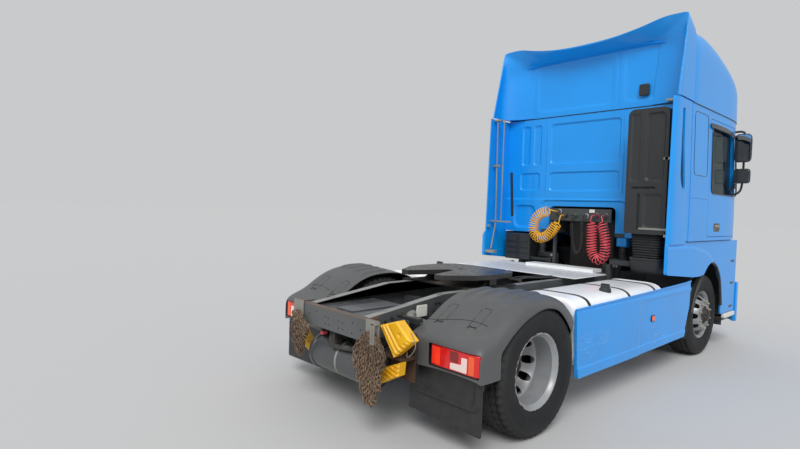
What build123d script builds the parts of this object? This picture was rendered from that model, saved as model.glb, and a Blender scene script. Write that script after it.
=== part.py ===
from build123d import *
import math
import os

# A two-axle tractor unit with a high-roof sleeper cab.
# Millimetres, +X forward, +Y left, +Z up, ground at z = 0, origin under the middle of the overall box.

# Overall
wheelbase = 3800
front_overhang = 1380
body_half_width = 1245
overall_height = 3995
beam_rear_x = -1052
bracket_wall = 6
chain_thickness = 48
fit_gap = 0.3
rear_overhang = bracket_wall + fit_gap + chain_thickness - beam_rear_x
overall_length = rear_overhang + wheelbase + front_overhang
rear_axle_x = rear_overhang - overall_length / 2
front_axle_x = rear_axle_x + wheelbase
front_face_x = front_axle_x + front_overhang
seam = 4
moving_gap = 9

# Wheels, 315/70 R22.5 tyres on 22.5 inch rims
tyre_radius = 507
tyre_half_width = 156
bead_radius = 286
flange_radius = 298
rim_half_width = 114
flange_width = 13
rim_plate = 12
dish_radius = 180
spigot_radius = 140
front_track_half = 1025
rear_outer_half = 1088
twin_spacing = 345
axle_z = tyre_radius
drum_radius = 212
hand_hole_radius = 30
hand_hole_circle = 222
hand_hole_count = 10
hub_bore_gap = 0.06

# Front axle and steering
kingpin_y = 900
kingpin_radius = 20
kingpin_eye_radius = 45
eye_height = 130
knuckle_lug_radius = 50
knuckle_lug_height = 60
spindle_radius = 45
axle_beam_width = 90
axle_beam_height = 110
axle_drop = 120
rear_tube_radius = 78
rear_spindle_radius = 60
spring_width = 80
spring_leaf_height = 50
spring_half_length = 780
spring_rise = 120
air_spring_radius = 92
air_spring_gap = 25

# Frame
rail_outer_y = 395
rail_flange = 75
rail_plate = 8
rail_top_z = 1000
rail_bottom_z = 720
rail_tail_top_z = 890
rail_tail_bend_x = -180
rail_front_x = 4940
beam_thickness = 50
beam_bottom_z = 716
beam_height = 170
member_height = 130
member_length = 70
member_places = [-640, 60, 1120, 2060, 4850]
cover_front_x = -360
cover_top_z = 872
cover_plate = 4
cover_rib_height = 12
cover_rib_half = 105

# Cab shell, X counted from the rear axle
cab_back_x = 2880
cab_bottom_z = 1450
cab_wall = 60
roof_joint_z = 3030
cab_front_x = 5160
cab_front_bottom_z = 950
floor_plate = 50
tunnel_left_y = 500
tunnel_right_y = -420
tunnel_top_z = 1820
windscreen_bottom_z = 1980
windscreen_top_z = 2960
pillar_x = 4740
glass_inset = 18
glass_plate = 6

# Doors
door_rear_x = 3560
door_front_x = 4730
door_bottom_z = 1500
door_top_z = 2930
window_rear_x = 3640
window_front_x = 4650
window_bottom_z = 2030
window_top_z = 2840
hinge_radius = 10

# Cab tilt pivot
tilt_pivot_x = 5060
tilt_pivot_z = 980
tilt_pin_radius = 20
tilt_arm_y = 440
tilt_arm_width = 60
tilt_lug_radius = 38

# Bumper, lamps, wings
bumper_top_z = 850
bumper_bottom_z = 300
bumper_wall = 60
bumper_depth = 260
headlamp_inner_y = 760
headlamp_outer_y = body_half_width - 85
headlamp_bottom_z = 600
headlamp_top_z = 800
wing_plate = 40
wing_rear_x = 2375
wing_top_z = 1420
wing_bottom_z = 1100
arch_half_length = 640
arch_top_z = 1225
liner_plate = 8
liner_inner_y = 700
step_front_x = 4890
step_bottom_z = 360
step_depth = 300
lid_half_width = 780
lid_plate = 45
lid_top_z = 1880
lid_gap = 6
lid_pivot_x = 5150
lid_pivot_z = 1876
lid_pin_radius = 4
lid_knuckle_radius = 8
lid_knuckle_y = 300
lid_knuckle_half = 34

# Side skirts and tanks
skirt_plate = 30
skirt_outline = [(502, 925), (548, 350), (1500, 350), (2970, 362), (3120, 700), (3140, 985), (2820, 971)]
tank_rear_x = 560
tank_front_x = 2440
tank_bottom_z = 400
tank_top_z = 1000
tank_inner_y = 560
tank_outer_y = body_half_width - 40
tank_corner = 130

# Rear mudguards, flaps and lamps
guard_inner_y = 575
guard_outer_y = body_half_width + 10
guard_plate = 14
guard_skirt_drop = 110
flap_plate = 8
flap_bottom_z = 184
lamp_bottom_z = 600
lamp_height = 150
lamp_depth = 60
lamp_inner_y = 794
lamp_outer_y = body_half_width - 9
lamp_x = -750
recess_gap = 4
flap_x = lamp_x + lamp_depth - fit_gap - flap_plate
flap_top_z = lamp_bottom_z - 2 * recess_gap

# Fifth wheel
pivot_x = 480
pivot_z = 1055
plate_rear = -560
plate_front = 400
plate_half_width = 455
plate_thickness = 45
plate_top_above_pivot = 80
plate_rest_tilt = 0
kingpin_bore_radius = 25.9
throat_half_width = 170
pedestal_width = 80
pedestal_length = 300

# Steps, air tank, chocks
step_levels = [480, 800, 1100]
step_opening_height = 180
step_opening_rear_x = 4520
step_opening_front_x = 4850
air_tank_x = -880
air_tank_z = 468
air_tank_radius = 142
air_tank_half = 385
air_strap_y = 350
chock_rear_x = -935
chock_width = 167
# y outwards and z of the right upper, right lower and left chock's four corners
chock_outlines = [
    (-1, [(458, 820), (673, 905), (845, 769), (624, 640)]),
    (-1, [(480, 500), (720, 607), (700, 500), (480, 410)]),
    (1, [(450, 500), (640, 640), (700, 560), (480, 440)]),
]

# Behind the cab
hood_rear_x = cab_back_x - 390
hood_top_rear_x = cab_back_x - 180
hood_dip = 115
collar_rear_x = cab_back_x - 490
collar_bottom_z = cab_bottom_z - 25
collar_plate = 40
collar_slot_x = [2622, 2678]
collar_slot_z = [2020, 2930]
snorkel_rear_x = cab_back_x - 380
snorkel_y = [-1150, -700]
snorkel_bottom_z = 1520
snorkel_top_z = 2930
bellows_levels = [1256, 1322, 1388, 1454]
bellows_fold = 50
filter_rear_x = snorkel_rear_x + 30
filter_length = 310
filter_y = [-1110, -740]
filter_bottom_z = 1060
filter_top_z = 1246
filter_arm_x = filter_rear_x + 190
filter_arm_width = 80
battery_rear_x = 2730
battery_length = 240
battery_y = [700, 1100]
battery_z = [1060, 1420]
panel_x = 2780
panel_plate = 25
panel_y = [-410, 440]
panel_z = [1630, 1790]
panel_post_y = 350
socket_radius = 28
cab_spring_x = 2900
cab_spring_left_y = 630
cab_spring_right_y = 510
cab_spring_radius = 45

# Mirrors and visor
mirror_x = 4600
mirror_root_y = body_half_width - 80
mirror_inner_y = body_half_width - 15
mirror_outer_y = body_half_width + 185
mirror_stalk_y = body_half_width + 75
mirror_z = [2480, 2860]
wide_mirror_z = [2200, 2400]
mirror_arm_z = [2080, 2895]
visor_front_x = cab_front_x + 12
visor_z = [2930, 3140]

# Curly lines
air_curl_radius = 56
lead_curl_radius = 28
line_radius = 6


def along(distance):
    """X of a point this far ahead of the rear axle."""
    return rear_axle_x + distance


def block(x0, x1, y0, y1, z0, z1):
    """A box between two corners."""
    size = Box(x1 - x0, y1 - y0, z1 - z0)
    return Pos((x0 + x1) / 2, (y0 + y1) / 2, (z0 + z1) / 2) * size


def slab_y(points, y0, y1):
    """An outline of (x, z) points carried along Y."""
    face = make_face(Polyline(*[(x, y0, z) for x, z in points], close=True))
    return extrude(face, amount=y1 - y0, dir=(0, 1, 0))


def slab_x(points, x0, x1):
    """An outline of (y, z) points carried along X."""
    face = make_face(Polyline(*[(x0, y, z) for y, z in points], close=True))
    return extrude(face, amount=x1 - x0, dir=(1, 0, 0))


def slab_z(points, z0, z1):
    """An outline of (x, y) points carried along Z."""
    face = make_face(Polyline(*[(x, y, z0) for x, y in points], close=True))
    return extrude(face, amount=z1 - z0, dir=(0, 0, 1))


def rod_y(x, z, radius, y0, y1):
    """A cylinder along Y."""
    return Pos(x, (y0 + y1) / 2, z) * Rot(90, 0, 0) * Cylinder(radius, y1 - y0)


def rod_z(x, y, radius, z0, z1):
    """A cylinder along Z."""
    return Pos(x, y, (z0 + z1) / 2) * Cylinder(radius, z1 - z0)


def turned(profile, x, z):
    """A (radius, y) outline turned about a wheel's axle."""
    face = make_face(Polyline(*profile, close=True))
    return Pos(x, 0, z) * revolve(face, axis=Axis.Y)


def across(shape):
    """The shape's mirror image on the other side of the vehicle."""
    return mirror(shape, about=Plane.XZ)


def pair(shape):
    """The shape and its mirror image, as solids of one node."""
    return Compound([*shape.solids(), *across(shape).solids()])


def group(*shapes):
    """Several solids that do not touch, kept in one node."""
    return Compound([solid for shape in shapes for solid in shape.solids()])


# Wheels

def tyre(x, centre_y):
    """A tyre whose beads sit between the rim's flanges."""
    # radius, half width
    section = [
        (bead_radius + fit_gap, rim_half_width - fit_gap),
        (flange_radius + 4, rim_half_width - fit_gap),
        (400, tyre_half_width),
        (tyre_radius - 16, tyre_half_width - 12),
        (tyre_radius, tyre_half_width - 38),
    ]
    outer = [(radius, centre_y + half) for radius, half in section]
    inner = [(radius, centre_y - half) for radius, half in reversed(section)]
    return turned(outer + inner, x, axle_z)


def rim_barrel(x, centre_y):
    """The rim's barrel with its two flanges."""
    edge = rim_half_width + flange_width
    section = [
        (bead_radius - rim_plate, centre_y - edge),
        (flange_radius, centre_y - edge),
        (flange_radius, centre_y - rim_half_width),
        (bead_radius, centre_y - rim_half_width),
        (bead_radius, centre_y + rim_half_width),
        (flange_radius, centre_y + rim_half_width),
        (flange_radius, centre_y + edge),
        (bead_radius - rim_plate, centre_y + edge),
    ]
    return turned(section, x, axle_z)


def rim_dish(x, barrel_y, face_y):
    """The dish from the barrel to the bolting face, with its hand holes."""
    side = math.copysign(rim_plate, face_y - barrel_y)
    section = [
        (spigot_radius, face_y),
        (dish_radius, face_y),
        (bead_radius - rim_plate / 2, barrel_y),
        (bead_radius - rim_plate / 2, barrel_y - side),
        (dish_radius, face_y - side),
        (spigot_radius, face_y - side),
    ]
    dish = turned(section, x, axle_z)
    low_y = min(barrel_y, face_y) - 2 * rim_plate
    high_y = max(barrel_y, face_y) + 2 * rim_plate
    for index in range(hand_hole_count):
        angle = math.radians(360 * index / hand_hole_count)
        hole_x = x + hand_hole_circle * math.cos(angle)
        hole_z = axle_z + hand_hole_circle * math.sin(angle)
        dish -= rod_y(hole_x, hole_z, hand_hole_radius, low_y, high_y)
    return dish


def front_rim():
    """Front rim with its hub and brake disc, left side."""
    face_y = front_track_half + 165
    rim = rim_barrel(front_axle_x, front_track_half)
    rim += rim_dish(front_axle_x, front_track_half + 60, face_y)
    hub_section = [
        (spindle_radius + hub_bore_gap, 1000),
        (drum_radius, 1000),
        (drum_radius, 1045),
        (90, 1045),
        (90, 1110),
        (spigot_radius, 1130),
        (spigot_radius + 20, face_y - rim_plate),
        (spigot_radius, face_y),
        (100, face_y + 6),
        (80, face_y + 45),
        (0, face_y + 45),
        (0, face_y - 10),
        (spindle_radius + hub_bore_gap, face_y - 10),
    ]
    rim += turned(hub_section, front_axle_x, axle_z)
    return rim


def rear_rims():
    """Two rear rims bolted back to back on their hub and drum, left side."""
    face_y = rear_outer_half - twin_spacing / 2
    inner_y = rear_outer_half - twin_spacing
    dish_reach = rim_half_width - 20
    rims = rim_barrel(rear_axle_x, rear_outer_half)
    rims += rim_barrel(rear_axle_x, inner_y)
    rims += rim_dish(rear_axle_x, rear_outer_half - dish_reach, face_y)
    rims += rim_dish(rear_axle_x, inner_y + dish_reach, face_y)
    hub_section = [
        (rear_tube_radius + 6, 610),
        (drum_radius, 610),
        (drum_radius, 850),
        (spigot_radius + 20, face_y - rim_plate),
        (spigot_radius, face_y + rim_plate),
        (125, face_y + 30),
        (118, face_y + 165),
        (95, face_y + 180),
        (0, face_y + 180),
        (0, face_y + 120),
        (rear_spindle_radius + hub_bore_gap, face_y + 120),
        (rear_spindle_radius + hub_bore_gap, 790),
        (rear_tube_radius + 6, 780),
    ]
    rims += turned(hub_section, rear_axle_x, axle_z)
    return rims


rear_tyres = group(
    tyre(rear_axle_x, rear_outer_half),
    tyre(rear_axle_x, rear_outer_half - twin_spacing),
)
front_tyre = tyre(front_axle_x, front_track_half)


# Axles and suspension

def knuckle():
    """Left steering knuckle: king pin, two lugs, back plate and spindle."""
    half_eye = eye_height / 2
    low = axle_z - half_eye - 5
    high = axle_z + half_eye + 5
    body = rod_z(front_axle_x, kingpin_y, kingpin_radius, low - 10, high + 10)
    body += rod_z(front_axle_x, kingpin_y, knuckle_lug_radius, low - knuckle_lug_height, low)
    body += rod_z(front_axle_x, kingpin_y, knuckle_lug_radius, high, high + knuckle_lug_height)
    plate_x = knuckle_lug_radius + 10
    body += block(
        front_axle_x - plate_x, front_axle_x + plate_x, kingpin_y + 55, kingpin_y + 85,
        low - knuckle_lug_height, high + knuckle_lug_height,
    )
    for low_z in (low - knuckle_lug_height, high):
        body += block(
            front_axle_x - knuckle_lug_radius, front_axle_x + knuckle_lug_radius,
            kingpin_y, kingpin_y + 60, low_z, low_z + knuckle_lug_height,
        )
    body += rod_y(front_axle_x, axle_z, spindle_radius, kingpin_y + 80, front_track_half + 150)
    return body


def front_axle():
    """Forged axle beam with king pin eyes, and a leaf spring over each end."""
    low_top = axle_z - axle_drop + axle_beam_height / 2
    low_bottom = low_top - axle_beam_height
    end_top = axle_z + eye_height / 2
    end_bottom = axle_z - eye_height / 2
    outline = [
        (480, low_bottom), (640, end_bottom), (860, end_bottom), (860, end_top), (680, end_top), (480, low_top),
        (-480, low_top), (-680, end_top), (-860, end_top), (-860, end_bottom), (-640, end_bottom),
        (-480, low_bottom),
    ]
    half = axle_beam_width / 2
    beam = slab_x(outline, front_axle_x - half, front_axle_x + half)
    eye = rod_z(front_axle_x, kingpin_y, kingpin_eye_radius, end_bottom, end_top)
    beam += eye + across(eye)
    bore = rod_z(front_axle_x, kingpin_y, kingpin_radius + hub_bore_gap, end_bottom, end_top)
    beam -= bore + across(bore)
    spring_y = rail_outer_y - spring_width / 2
    x0 = front_axle_x - spring_half_length
    x1 = front_axle_x + spring_half_length
    rise = low_top + spring_rise
    leaf = [
        (x0, rise), (front_axle_x - 120, low_top), (front_axle_x + 120, low_top), (x1, rise),
        (x1, rise + spring_leaf_height / 2), (front_axle_x + 120, low_top + spring_leaf_height),
        (front_axle_x - 120, low_top + spring_leaf_height), (x0, rise + spring_leaf_height / 2),
    ]
    spring = slab_y(leaf, spring_y - spring_width / 2, spring_y + spring_width / 2)
    for hanger_x in (x0, x1 - 90):
        spring += block(
            hanger_x, hanger_x + 90, spring_y - spring_width / 2, spring_y + spring_width / 2,
            rise, rail_bottom_z,
        )
    beam += spring + across(spring)
    return beam


def rear_axle():
    """Axle tube with its differential and the two spring beams under it."""
    axle = rod_y(rear_axle_x, axle_z, rear_tube_radius, -770, 770)
    axle += rod_y(rear_axle_x, axle_z, rear_spindle_radius, -1020, 1020)
    axle += Pos(rear_axle_x, 0, axle_z) * Sphere(205)
    axle += Pos(rear_axle_x + 230, 0, axle_z) * Rot(0, 90, 0) * Cylinder(95, 160)
    beam_y = 455
    beam = block(
        rear_axle_x - 480, rear_axle_x + 480, beam_y - 45, beam_y + 45,
        axle_z - rear_tube_radius - 70, axle_z - rear_tube_radius + 10,
    )
    axle += beam + across(beam)
    return axle


def air_springs():
    """Four rubber bellows between the spring beams and the frame."""
    beam_top = axle_z - rear_tube_radius + 10
    tyre_inner_y = rear_outer_half - twin_spacing - tyre_half_width
    spring_y = tyre_inner_y - air_spring_radius - air_spring_gap
    spring = rod_z(rear_axle_x - 400, spring_y, 60, beam_top, rail_bottom_z - 100)
    spring += rod_z(rear_axle_x - 400, spring_y, air_spring_radius, beam_top + 90, rail_bottom_z - 40)
    spring += block(
        rear_axle_x - 470, rear_axle_x - 330, rail_outer_y, tyre_inner_y - air_spring_gap - 2,
        rail_bottom_z - 40, rail_bottom_z,
    )
    spring += block(
        rear_axle_x - 470, rear_axle_x - 330, rail_outer_y - 60, rail_outer_y + 1,
        rail_bottom_z - 40, rail_bottom_z,
    )
    forward = Pos(800, 0, 0) * spring
    return group(spring, across(spring), forward, across(forward))


# Frame

def frame_rail(inset, inner_y, outer_y):
    """The left rail's side outline, drawn in by inset at its top and bottom."""
    tail_x = along(beam_rear_x + beam_thickness)
    outline = [
        (tail_x, rail_tail_top_z - inset), (along(rail_tail_bend_x), rail_top_z - inset),
        (along(rail_front_x), rail_top_z - inset), (along(rail_front_x), rail_bottom_z + inset),
        (tail_x, rail_bottom_z + inset),
    ]
    return slab_y(outline, inner_y, outer_y)


def frame_rails():
    """Two C-section rails, open towards each other."""
    rail = frame_rail(0, rail_outer_y - rail_flange, rail_outer_y)
    rail -= frame_rail(rail_plate, rail_outer_y - rail_flange, rail_outer_y - rail_plate)
    return pair(rail)


def frame_members():
    """Box members between the rails' webs, and the plates that hold the chocks."""
    reach = rail_outer_y - rail_plate
    low = rail_bottom_z + rail_plate
    members = []
    for place in member_places:
        members.append(block(along(place), along(place) + member_length, -reach, reach, low, low + member_height))
    return group(*members, chock_holders(), rear_cover())


def rear_cover():
    """Cover plate between the rails at the tail, with a raised panel along its middle."""
    x0 = along(beam_rear_x + beam_thickness) + fit_gap
    x1 = along(cover_front_x)
    reach = rail_outer_y - rail_plate
    plate = block(x0, x1, -reach, reach, cover_top_z - cover_plate, cover_top_z)
    plate += block(x0 + 60, x1 - 60, -cover_rib_half, cover_rib_half, cover_top_z - 1, cover_top_z + cover_rib_height)
    return plate


def rear_beam():
    """The closing beam behind the rails, with a channel bracket at each end."""
    x0 = along(beam_rear_x)
    beam = block(x0, x0 + beam_thickness, -430, 430, beam_bottom_z, beam_bottom_z + beam_height)
    hollow = block(
        x0 + rail_plate, x0 + beam_thickness, -430 + rail_plate, 430 - rail_plate,
        beam_bottom_z + rail_plate, beam_bottom_z + beam_height - rail_plate,
    )
    beam -= hollow
    end_plate = block(
        x0 + beam_thickness - rail_plate, x0 + beam_thickness, -rail_outer_y, rail_outer_y,
        beam_bottom_z + rail_plate, beam_bottom_z + beam_height - rail_plate,
    )
    beam += end_plate
    bracket = block(x0 - 6, x0 + 110, 430, 565, 730, 900)
    bracket -= block(x0 + 4, x0 + 120, 430, 555, 742, 888)
    beam += bracket + across(bracket)
    return beam


def chain_bundles():
    """Hanging chains over each bracket: a few strands of different length."""
    top_z = 905
    x0 = along(beam_rear_x) - 6 - fit_gap
    bundles = []
    # side, then strands as (y, bottom z)
    for side, strands in (
        (-1, ((340, 470), (385, 380), (430, 290), (475, 300), (520, 340), (565, 420), (605, 560))),
        (1, ((385, 560), (430, 450), (475, 470), (520, 520), (565, 600))),
    ):
        low_y = strands[0][0] - 22
        high_y = strands[-1][0] + 22
        bundle = block(x0 - 48, x0, low_y, high_y, 780, 860)
        bundle += block(x0 - 48, x0 + 100, 440, 545, 900 + fit_gap, 930)
        bundle += block(x0 - 48, x0, 440, 545, 780, 930)
        for strand_y, bottom_z in strands:
            bundle += block(x0 - 46, x0 - 4, strand_y - 21, strand_y + 21, bottom_z, 800)
        bundles.append(bundle if side > 0 else across(bundle))
    return group(*bundles)


def wheel_chocks():
    """Two yellow wheel chocks in front of their holder on the right, and one on the left."""
    x0 = along(chock_rear_x)
    chocks = []
    for side, corners in chock_outlines:
        chocks.append(slab_x([(side * y, z) for y, z in corners], x0, x0 + chock_width))
    return group(*chocks)


def chock_holders():
    """Bracket plates that carry the chocks from the rails."""
    x0 = along(chock_rear_x) + chock_width + fit_gap
    plate = block(x0, x0 + 12, rail_outer_y, guard_inner_y - 5, 430, 870)
    return pair(plate)


def rear_air_tank():
    """Air tank lying across behind the rear axle, on two straps from the rails."""
    x = along(air_tank_x)
    tank = rod_y(x, air_tank_z, air_tank_radius, -air_tank_half, air_tank_half)
    tank = fillet(tank.edges().filter_by(GeomType.CIRCLE), 40)
    strap = rod_y(x, air_tank_z, air_tank_radius + 8, air_strap_y - 20, air_strap_y + 20)
    strap -= rod_y(x, air_tank_z, air_tank_radius - 2, air_strap_y - 30, air_strap_y + 25)
    strap += block(x - 40, x + 40, air_strap_y - 20, air_strap_y + 20, air_tank_z + air_tank_radius + 2, rail_bottom_z)
    tank += strap + across(strap)
    return tank


def engine():
    """The engine as one plain block, and the radiator in front of it."""
    block_solid = block(along(3120), along(4450), -300, 300, 600, 1660)
    block_solid += block(along(3400), along(4300), -300, 300, 470, 620)
    radiator = block(along(4600), along(4760), -310, 310, 640, 1360)
    arms = block(along(4300), along(4400), -rail_outer_y + rail_plate, rail_outer_y - rail_plate, 760, 860)
    stand = block(along(4660), along(4720), -rail_outer_y + rail_plate, rail_outer_y - rail_plate, 760, 860)
    return group(block_solid + arms, radiator + stand)


def gearbox():
    """Gearbox behind the engine and the propeller shaft to the rear axle."""
    x_front = along(3120)
    x_rear = along(2420)
    case = block(x_rear, x_front, -210, 210, 560, 990)
    start = Vector(x_rear, 0, 660)
    end = Vector(rear_axle_x + 316, 0, axle_z)
    line = Edge.make_line(start, end)
    shaft = sweep(Plane(origin=start, z_dir=(end - start)) * Circle(55), path=line)
    return case + shaft


def fuel_tanks():
    """Two rounded tanks outside the rails, each on two arms."""
    width = tank_outer_y - tank_inner_y
    height = tank_top_z - tank_bottom_z
    length = tank_front_x - tank_rear_x
    centre = Pos(along((tank_front_x + tank_rear_x) / 2), (tank_inner_y + tank_outer_y) / 2, 0)
    section = Plane.YZ * RectangleRounded(width, height, tank_corner)
    tank = extrude(section, amount=length / 2, both=True)
    tank = centre * Pos(0, 0, (tank_bottom_z + tank_top_z) / 2) * tank
    for place in (tank_rear_x + 330, tank_front_x - 330):
        tank += block(along(place), along(place) + 60, rail_outer_y, tank_inner_y + 60, 760, 900)
    return pair(tank)


def catwalk():
    """Tread plates over the rails behind the cab, on four posts."""
    plate = block(along(1690), along(2420), -560, 1100, 1020, 1028)
    plate += block(along(2420), along(2660), -385, 1100, 1020, 1028)
    plate += block(along(2440), along(2660), -380, 560, 1028, 1062)
    for post_x in (1750, 2500):
        for post_y in (-340, 360):
            plate += block(along(post_x), along(post_x) + 60, post_y - 20, post_y + 20, rail_top_z, 1021)
    return plate


# Side panels

def side_skirts():
    """Painted panel outside each tank, with brackets to the tank."""
    inner_y = body_half_width - skirt_plate
    skirt = slab_y([(along(x), z) for x, z in skirt_outline], inner_y, body_half_width)
    for place in (800, 1500, 2200):
        skirt += block(along(place), along(place) + 80, tank_outer_y, inner_y + 1, 620, 700)
    return pair(skirt)


def arch_outline(grow):
    """Wheel arch outline over the front wheel, grown outwards by grow."""
    half = arch_half_length + grow
    top = arch_top_z + grow
    return [
        (front_axle_x - half, 300), (front_axle_x - half, axle_z + 300), (front_axle_x - half + 110, top - 130),
        (front_axle_x - half + 290, top), (front_axle_x + half - 290, top),
        (front_axle_x + half - 110, top - 130), (front_axle_x + half, axle_z + 300),
        (front_axle_x + half, 300),
    ]


def front_wings():
    """Painted wing over each front wheel and the step panel in front of it."""
    inner_y = body_half_width - wing_plate
    outline = [
        (along(wing_rear_x), wing_bottom_z), (along(wing_rear_x), wing_top_z), (along(3350), 1400),
        (along(step_front_x), 1400), (along(step_front_x), step_bottom_z), (along(4440), step_bottom_z),
        (along(4440), 900), (along(3170), 1020),
    ]
    wing = slab_y(outline, inner_y, body_half_width)
    wing -= slab_y(arch_outline(0), inner_y - 1, body_half_width + 1)
    for step_z in step_levels:
        wing -= block(along(step_opening_rear_x), along(step_opening_front_x), inner_y - 1, body_half_width + 1,
                      step_z, step_z + step_opening_height)
    return pair(wing)


def step_boxes():
    """Dark step wells behind the step panels, carried by an arm from the rail."""
    outer_y = body_half_width - wing_plate - fit_gap
    x0 = front_axle_x + arch_half_length + 2 * liner_plate
    box = block(x0, along(step_front_x), outer_y - step_depth, outer_y, step_bottom_z, 1370)
    for step_z in step_levels:
        box -= block(along(step_opening_rear_x), along(step_opening_front_x), outer_y - step_depth + 30, outer_y + 1,
                     step_z, step_z + step_opening_height)
    box += block(x0 + 200, x0 + 280, rail_outer_y, outer_y - step_depth + 1, 760, 860)
    return pair(box)


def arch_liners():
    """Dark inner arch over each front wheel."""
    outer_y = body_half_width - wing_plate - fit_gap
    liner = slab_y(arch_outline(liner_plate), liner_inner_y, outer_y)
    liner -= slab_y(arch_outline(0), liner_inner_y - 1, outer_y + 1)
    liner += block(
        front_axle_x + arch_half_length - 1, front_axle_x + arch_half_length + 2 * liner_plate - fit_gap,
        liner_inner_y, outer_y, 700, 800,
    )
    liner += block(
        front_axle_x - arch_half_length - 60, front_axle_x - arch_half_length + 1,
        rail_outer_y, liner_inner_y + 40, 800, 860,
    )
    return pair(liner)


# Rear mudguards

def guard_profile(grow):
    """Side outline of the rear mudguard, from its boxy rear over the crown to its front edge."""
    return [
        (along(-760 - grow), 560), (along(-760 - grow), 860 + grow), (along(-560 - grow), 960 + grow),
        (along(-330), 1090 + grow), (along(-120), 1136 + grow), (along(120), 1136 + grow),
        (along(340 + grow), 1060 + grow), (along(512 + grow), 860 + grow), (along(548 + grow), 330),
    ]


def rear_mudguards():
    """Plastic guard over each twin wheel, with a lip round the outer tyre and a lamp recess."""
    outer = guard_profile(0)
    inner = guard_profile(-guard_plate)
    shell = slab_y(outer, guard_inner_y, guard_outer_y)
    shell -= slab_y([*inner[1:-1], (inner[-1][0], 320), (inner[0][0], 320)], guard_inner_y - 1, guard_outer_y + 1)
    lip_cut = [
        (along(-530), 300), (along(-530), 753), (along(-465), 826), (along(-316), 912), (along(-130), 978),
        (along(45), 1001), (along(222), 955), (along(387), 799), (along(480), 647), (along(493), 300),
    ]
    lip = slab_y(outer, guard_outer_y - guard_plate, guard_outer_y)
    lip -= slab_y(lip_cut, guard_outer_y - guard_plate - 1, guard_outer_y + 1)
    lip -= block(along(-800), along(600), guard_outer_y - 20, guard_outer_y + 1, 300, 330)
    shell += lip
    shell -= block(along(lamp_x) - 30, along(lamp_x) + lamp_depth, lamp_inner_y - 4, guard_outer_y + 1,
                   lamp_bottom_z - 4, lamp_bottom_z + lamp_height + 4)
    back = block(along(lamp_x) + lamp_depth, along(lamp_x) + lamp_depth + guard_plate, guard_inner_y,
                 guard_outer_y - guard_plate, 560, 800)
    shell += back
    shell -= block(along(skirt_outline[0][0]) - recess_gap, along(700), body_half_width - skirt_plate - recess_gap,
                   guard_outer_y + 1, 300, 1200)
    shell += block(along(-700), along(-640), rail_outer_y, guard_inner_y + 4, 850, 880)
    shell += block(along(250), along(310), rail_outer_y, guard_inner_y + 4, 960, 990)
    return pair(shell)


def mud_flaps():
    """Rubber flap hanging inside each guard's rear."""
    x0 = along(flap_x)
    flap = block(x0, x0 + flap_plate, guard_inner_y, guard_outer_y - 20, flap_bottom_z, flap_top_z)
    return pair(flap)


def tail_lamps():
    """Lamp unit in each guard's recess."""
    x0 = along(lamp_x)
    lamp = block(x0, x0 + lamp_depth - fit_gap, lamp_inner_y, lamp_outer_y, lamp_bottom_z, lamp_bottom_z + lamp_height)
    lamp = chamfer(lamp.edges().filter_by(Axis.Z).group_by(Axis.X)[0], 12)
    return pair(lamp)


# Fifth wheel

def fifth_wheel_base():
    """Mounting plate on the rails with a pedestal under each end of the pivot."""
    x = along(pivot_x)
    base = block(x - 330, x + 330, -430, 430, rail_top_z, rail_top_z + 14)
    half = pedestal_length / 2
    outline = [
        (x - half, rail_top_z + 10), (x - 45, pivot_z + 25), (x + 45, pivot_z + 25), (x + half, rail_top_z + 10),
    ]
    pedestal = slab_y(outline, 330 - pedestal_width / 2, 330 + pedestal_width / 2)
    pedestal -= rod_y(x, pivot_z, tilt_pin_radius + hub_bore_gap, 200, 460)
    base += pedestal + across(pedestal)
    return base


def fifth_wheel_plate():
    """Coupling plate with its throat and locked jaw, at its rest tilt."""
    half = plate_half_width
    outline = [
        (plate_rear, 260), (plate_rear + 120, 330), (-300, 420), (-120, half), (200, half), (330, 380),
        (plate_front, 220), (plate_front, -220), (330, -380), (200, -half), (-120, -half), (-300, -420),
        (plate_rear + 120, -330), (plate_rear, -260), (plate_rear, -throat_half_width), (-150, -40),
        (-150, 40), (plate_rear, throat_half_width),
    ]
    top = plate_top_above_pivot
    plate = slab_z(outline, top - plate_thickness, top)
    plate += block(-150, 150, -200, 200, top - plate_thickness - 15, top - 5)
    plate -= rod_z(0, 0, kingpin_bore_radius, top - plate_thickness - 40, top + 10)
    for side in (-1, 1):
        ear_low = side * 330 - 70
        for ear_y in (ear_low, ear_low + 120):
            plate += block(-50, 50, ear_y, ear_y + 20, -30, top - 10)
        plate += rod_y(0, 0, tilt_pin_radius, ear_low + 10, ear_low + 130)
    return Pos(along(pivot_x), 0, pivot_z) * Rot(0, -plate_rest_tilt, 0) * plate


# Cab shell

def inset_outline(points, plane, inset):
    """A face of straight sides on the plane, drawn in by inset."""
    face = plane * make_face(Polyline(*points, close=True))
    if inset == 0:
        return face
    return offset(face, amount=-inset, kind=Kind.INTERSECTION)


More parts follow.
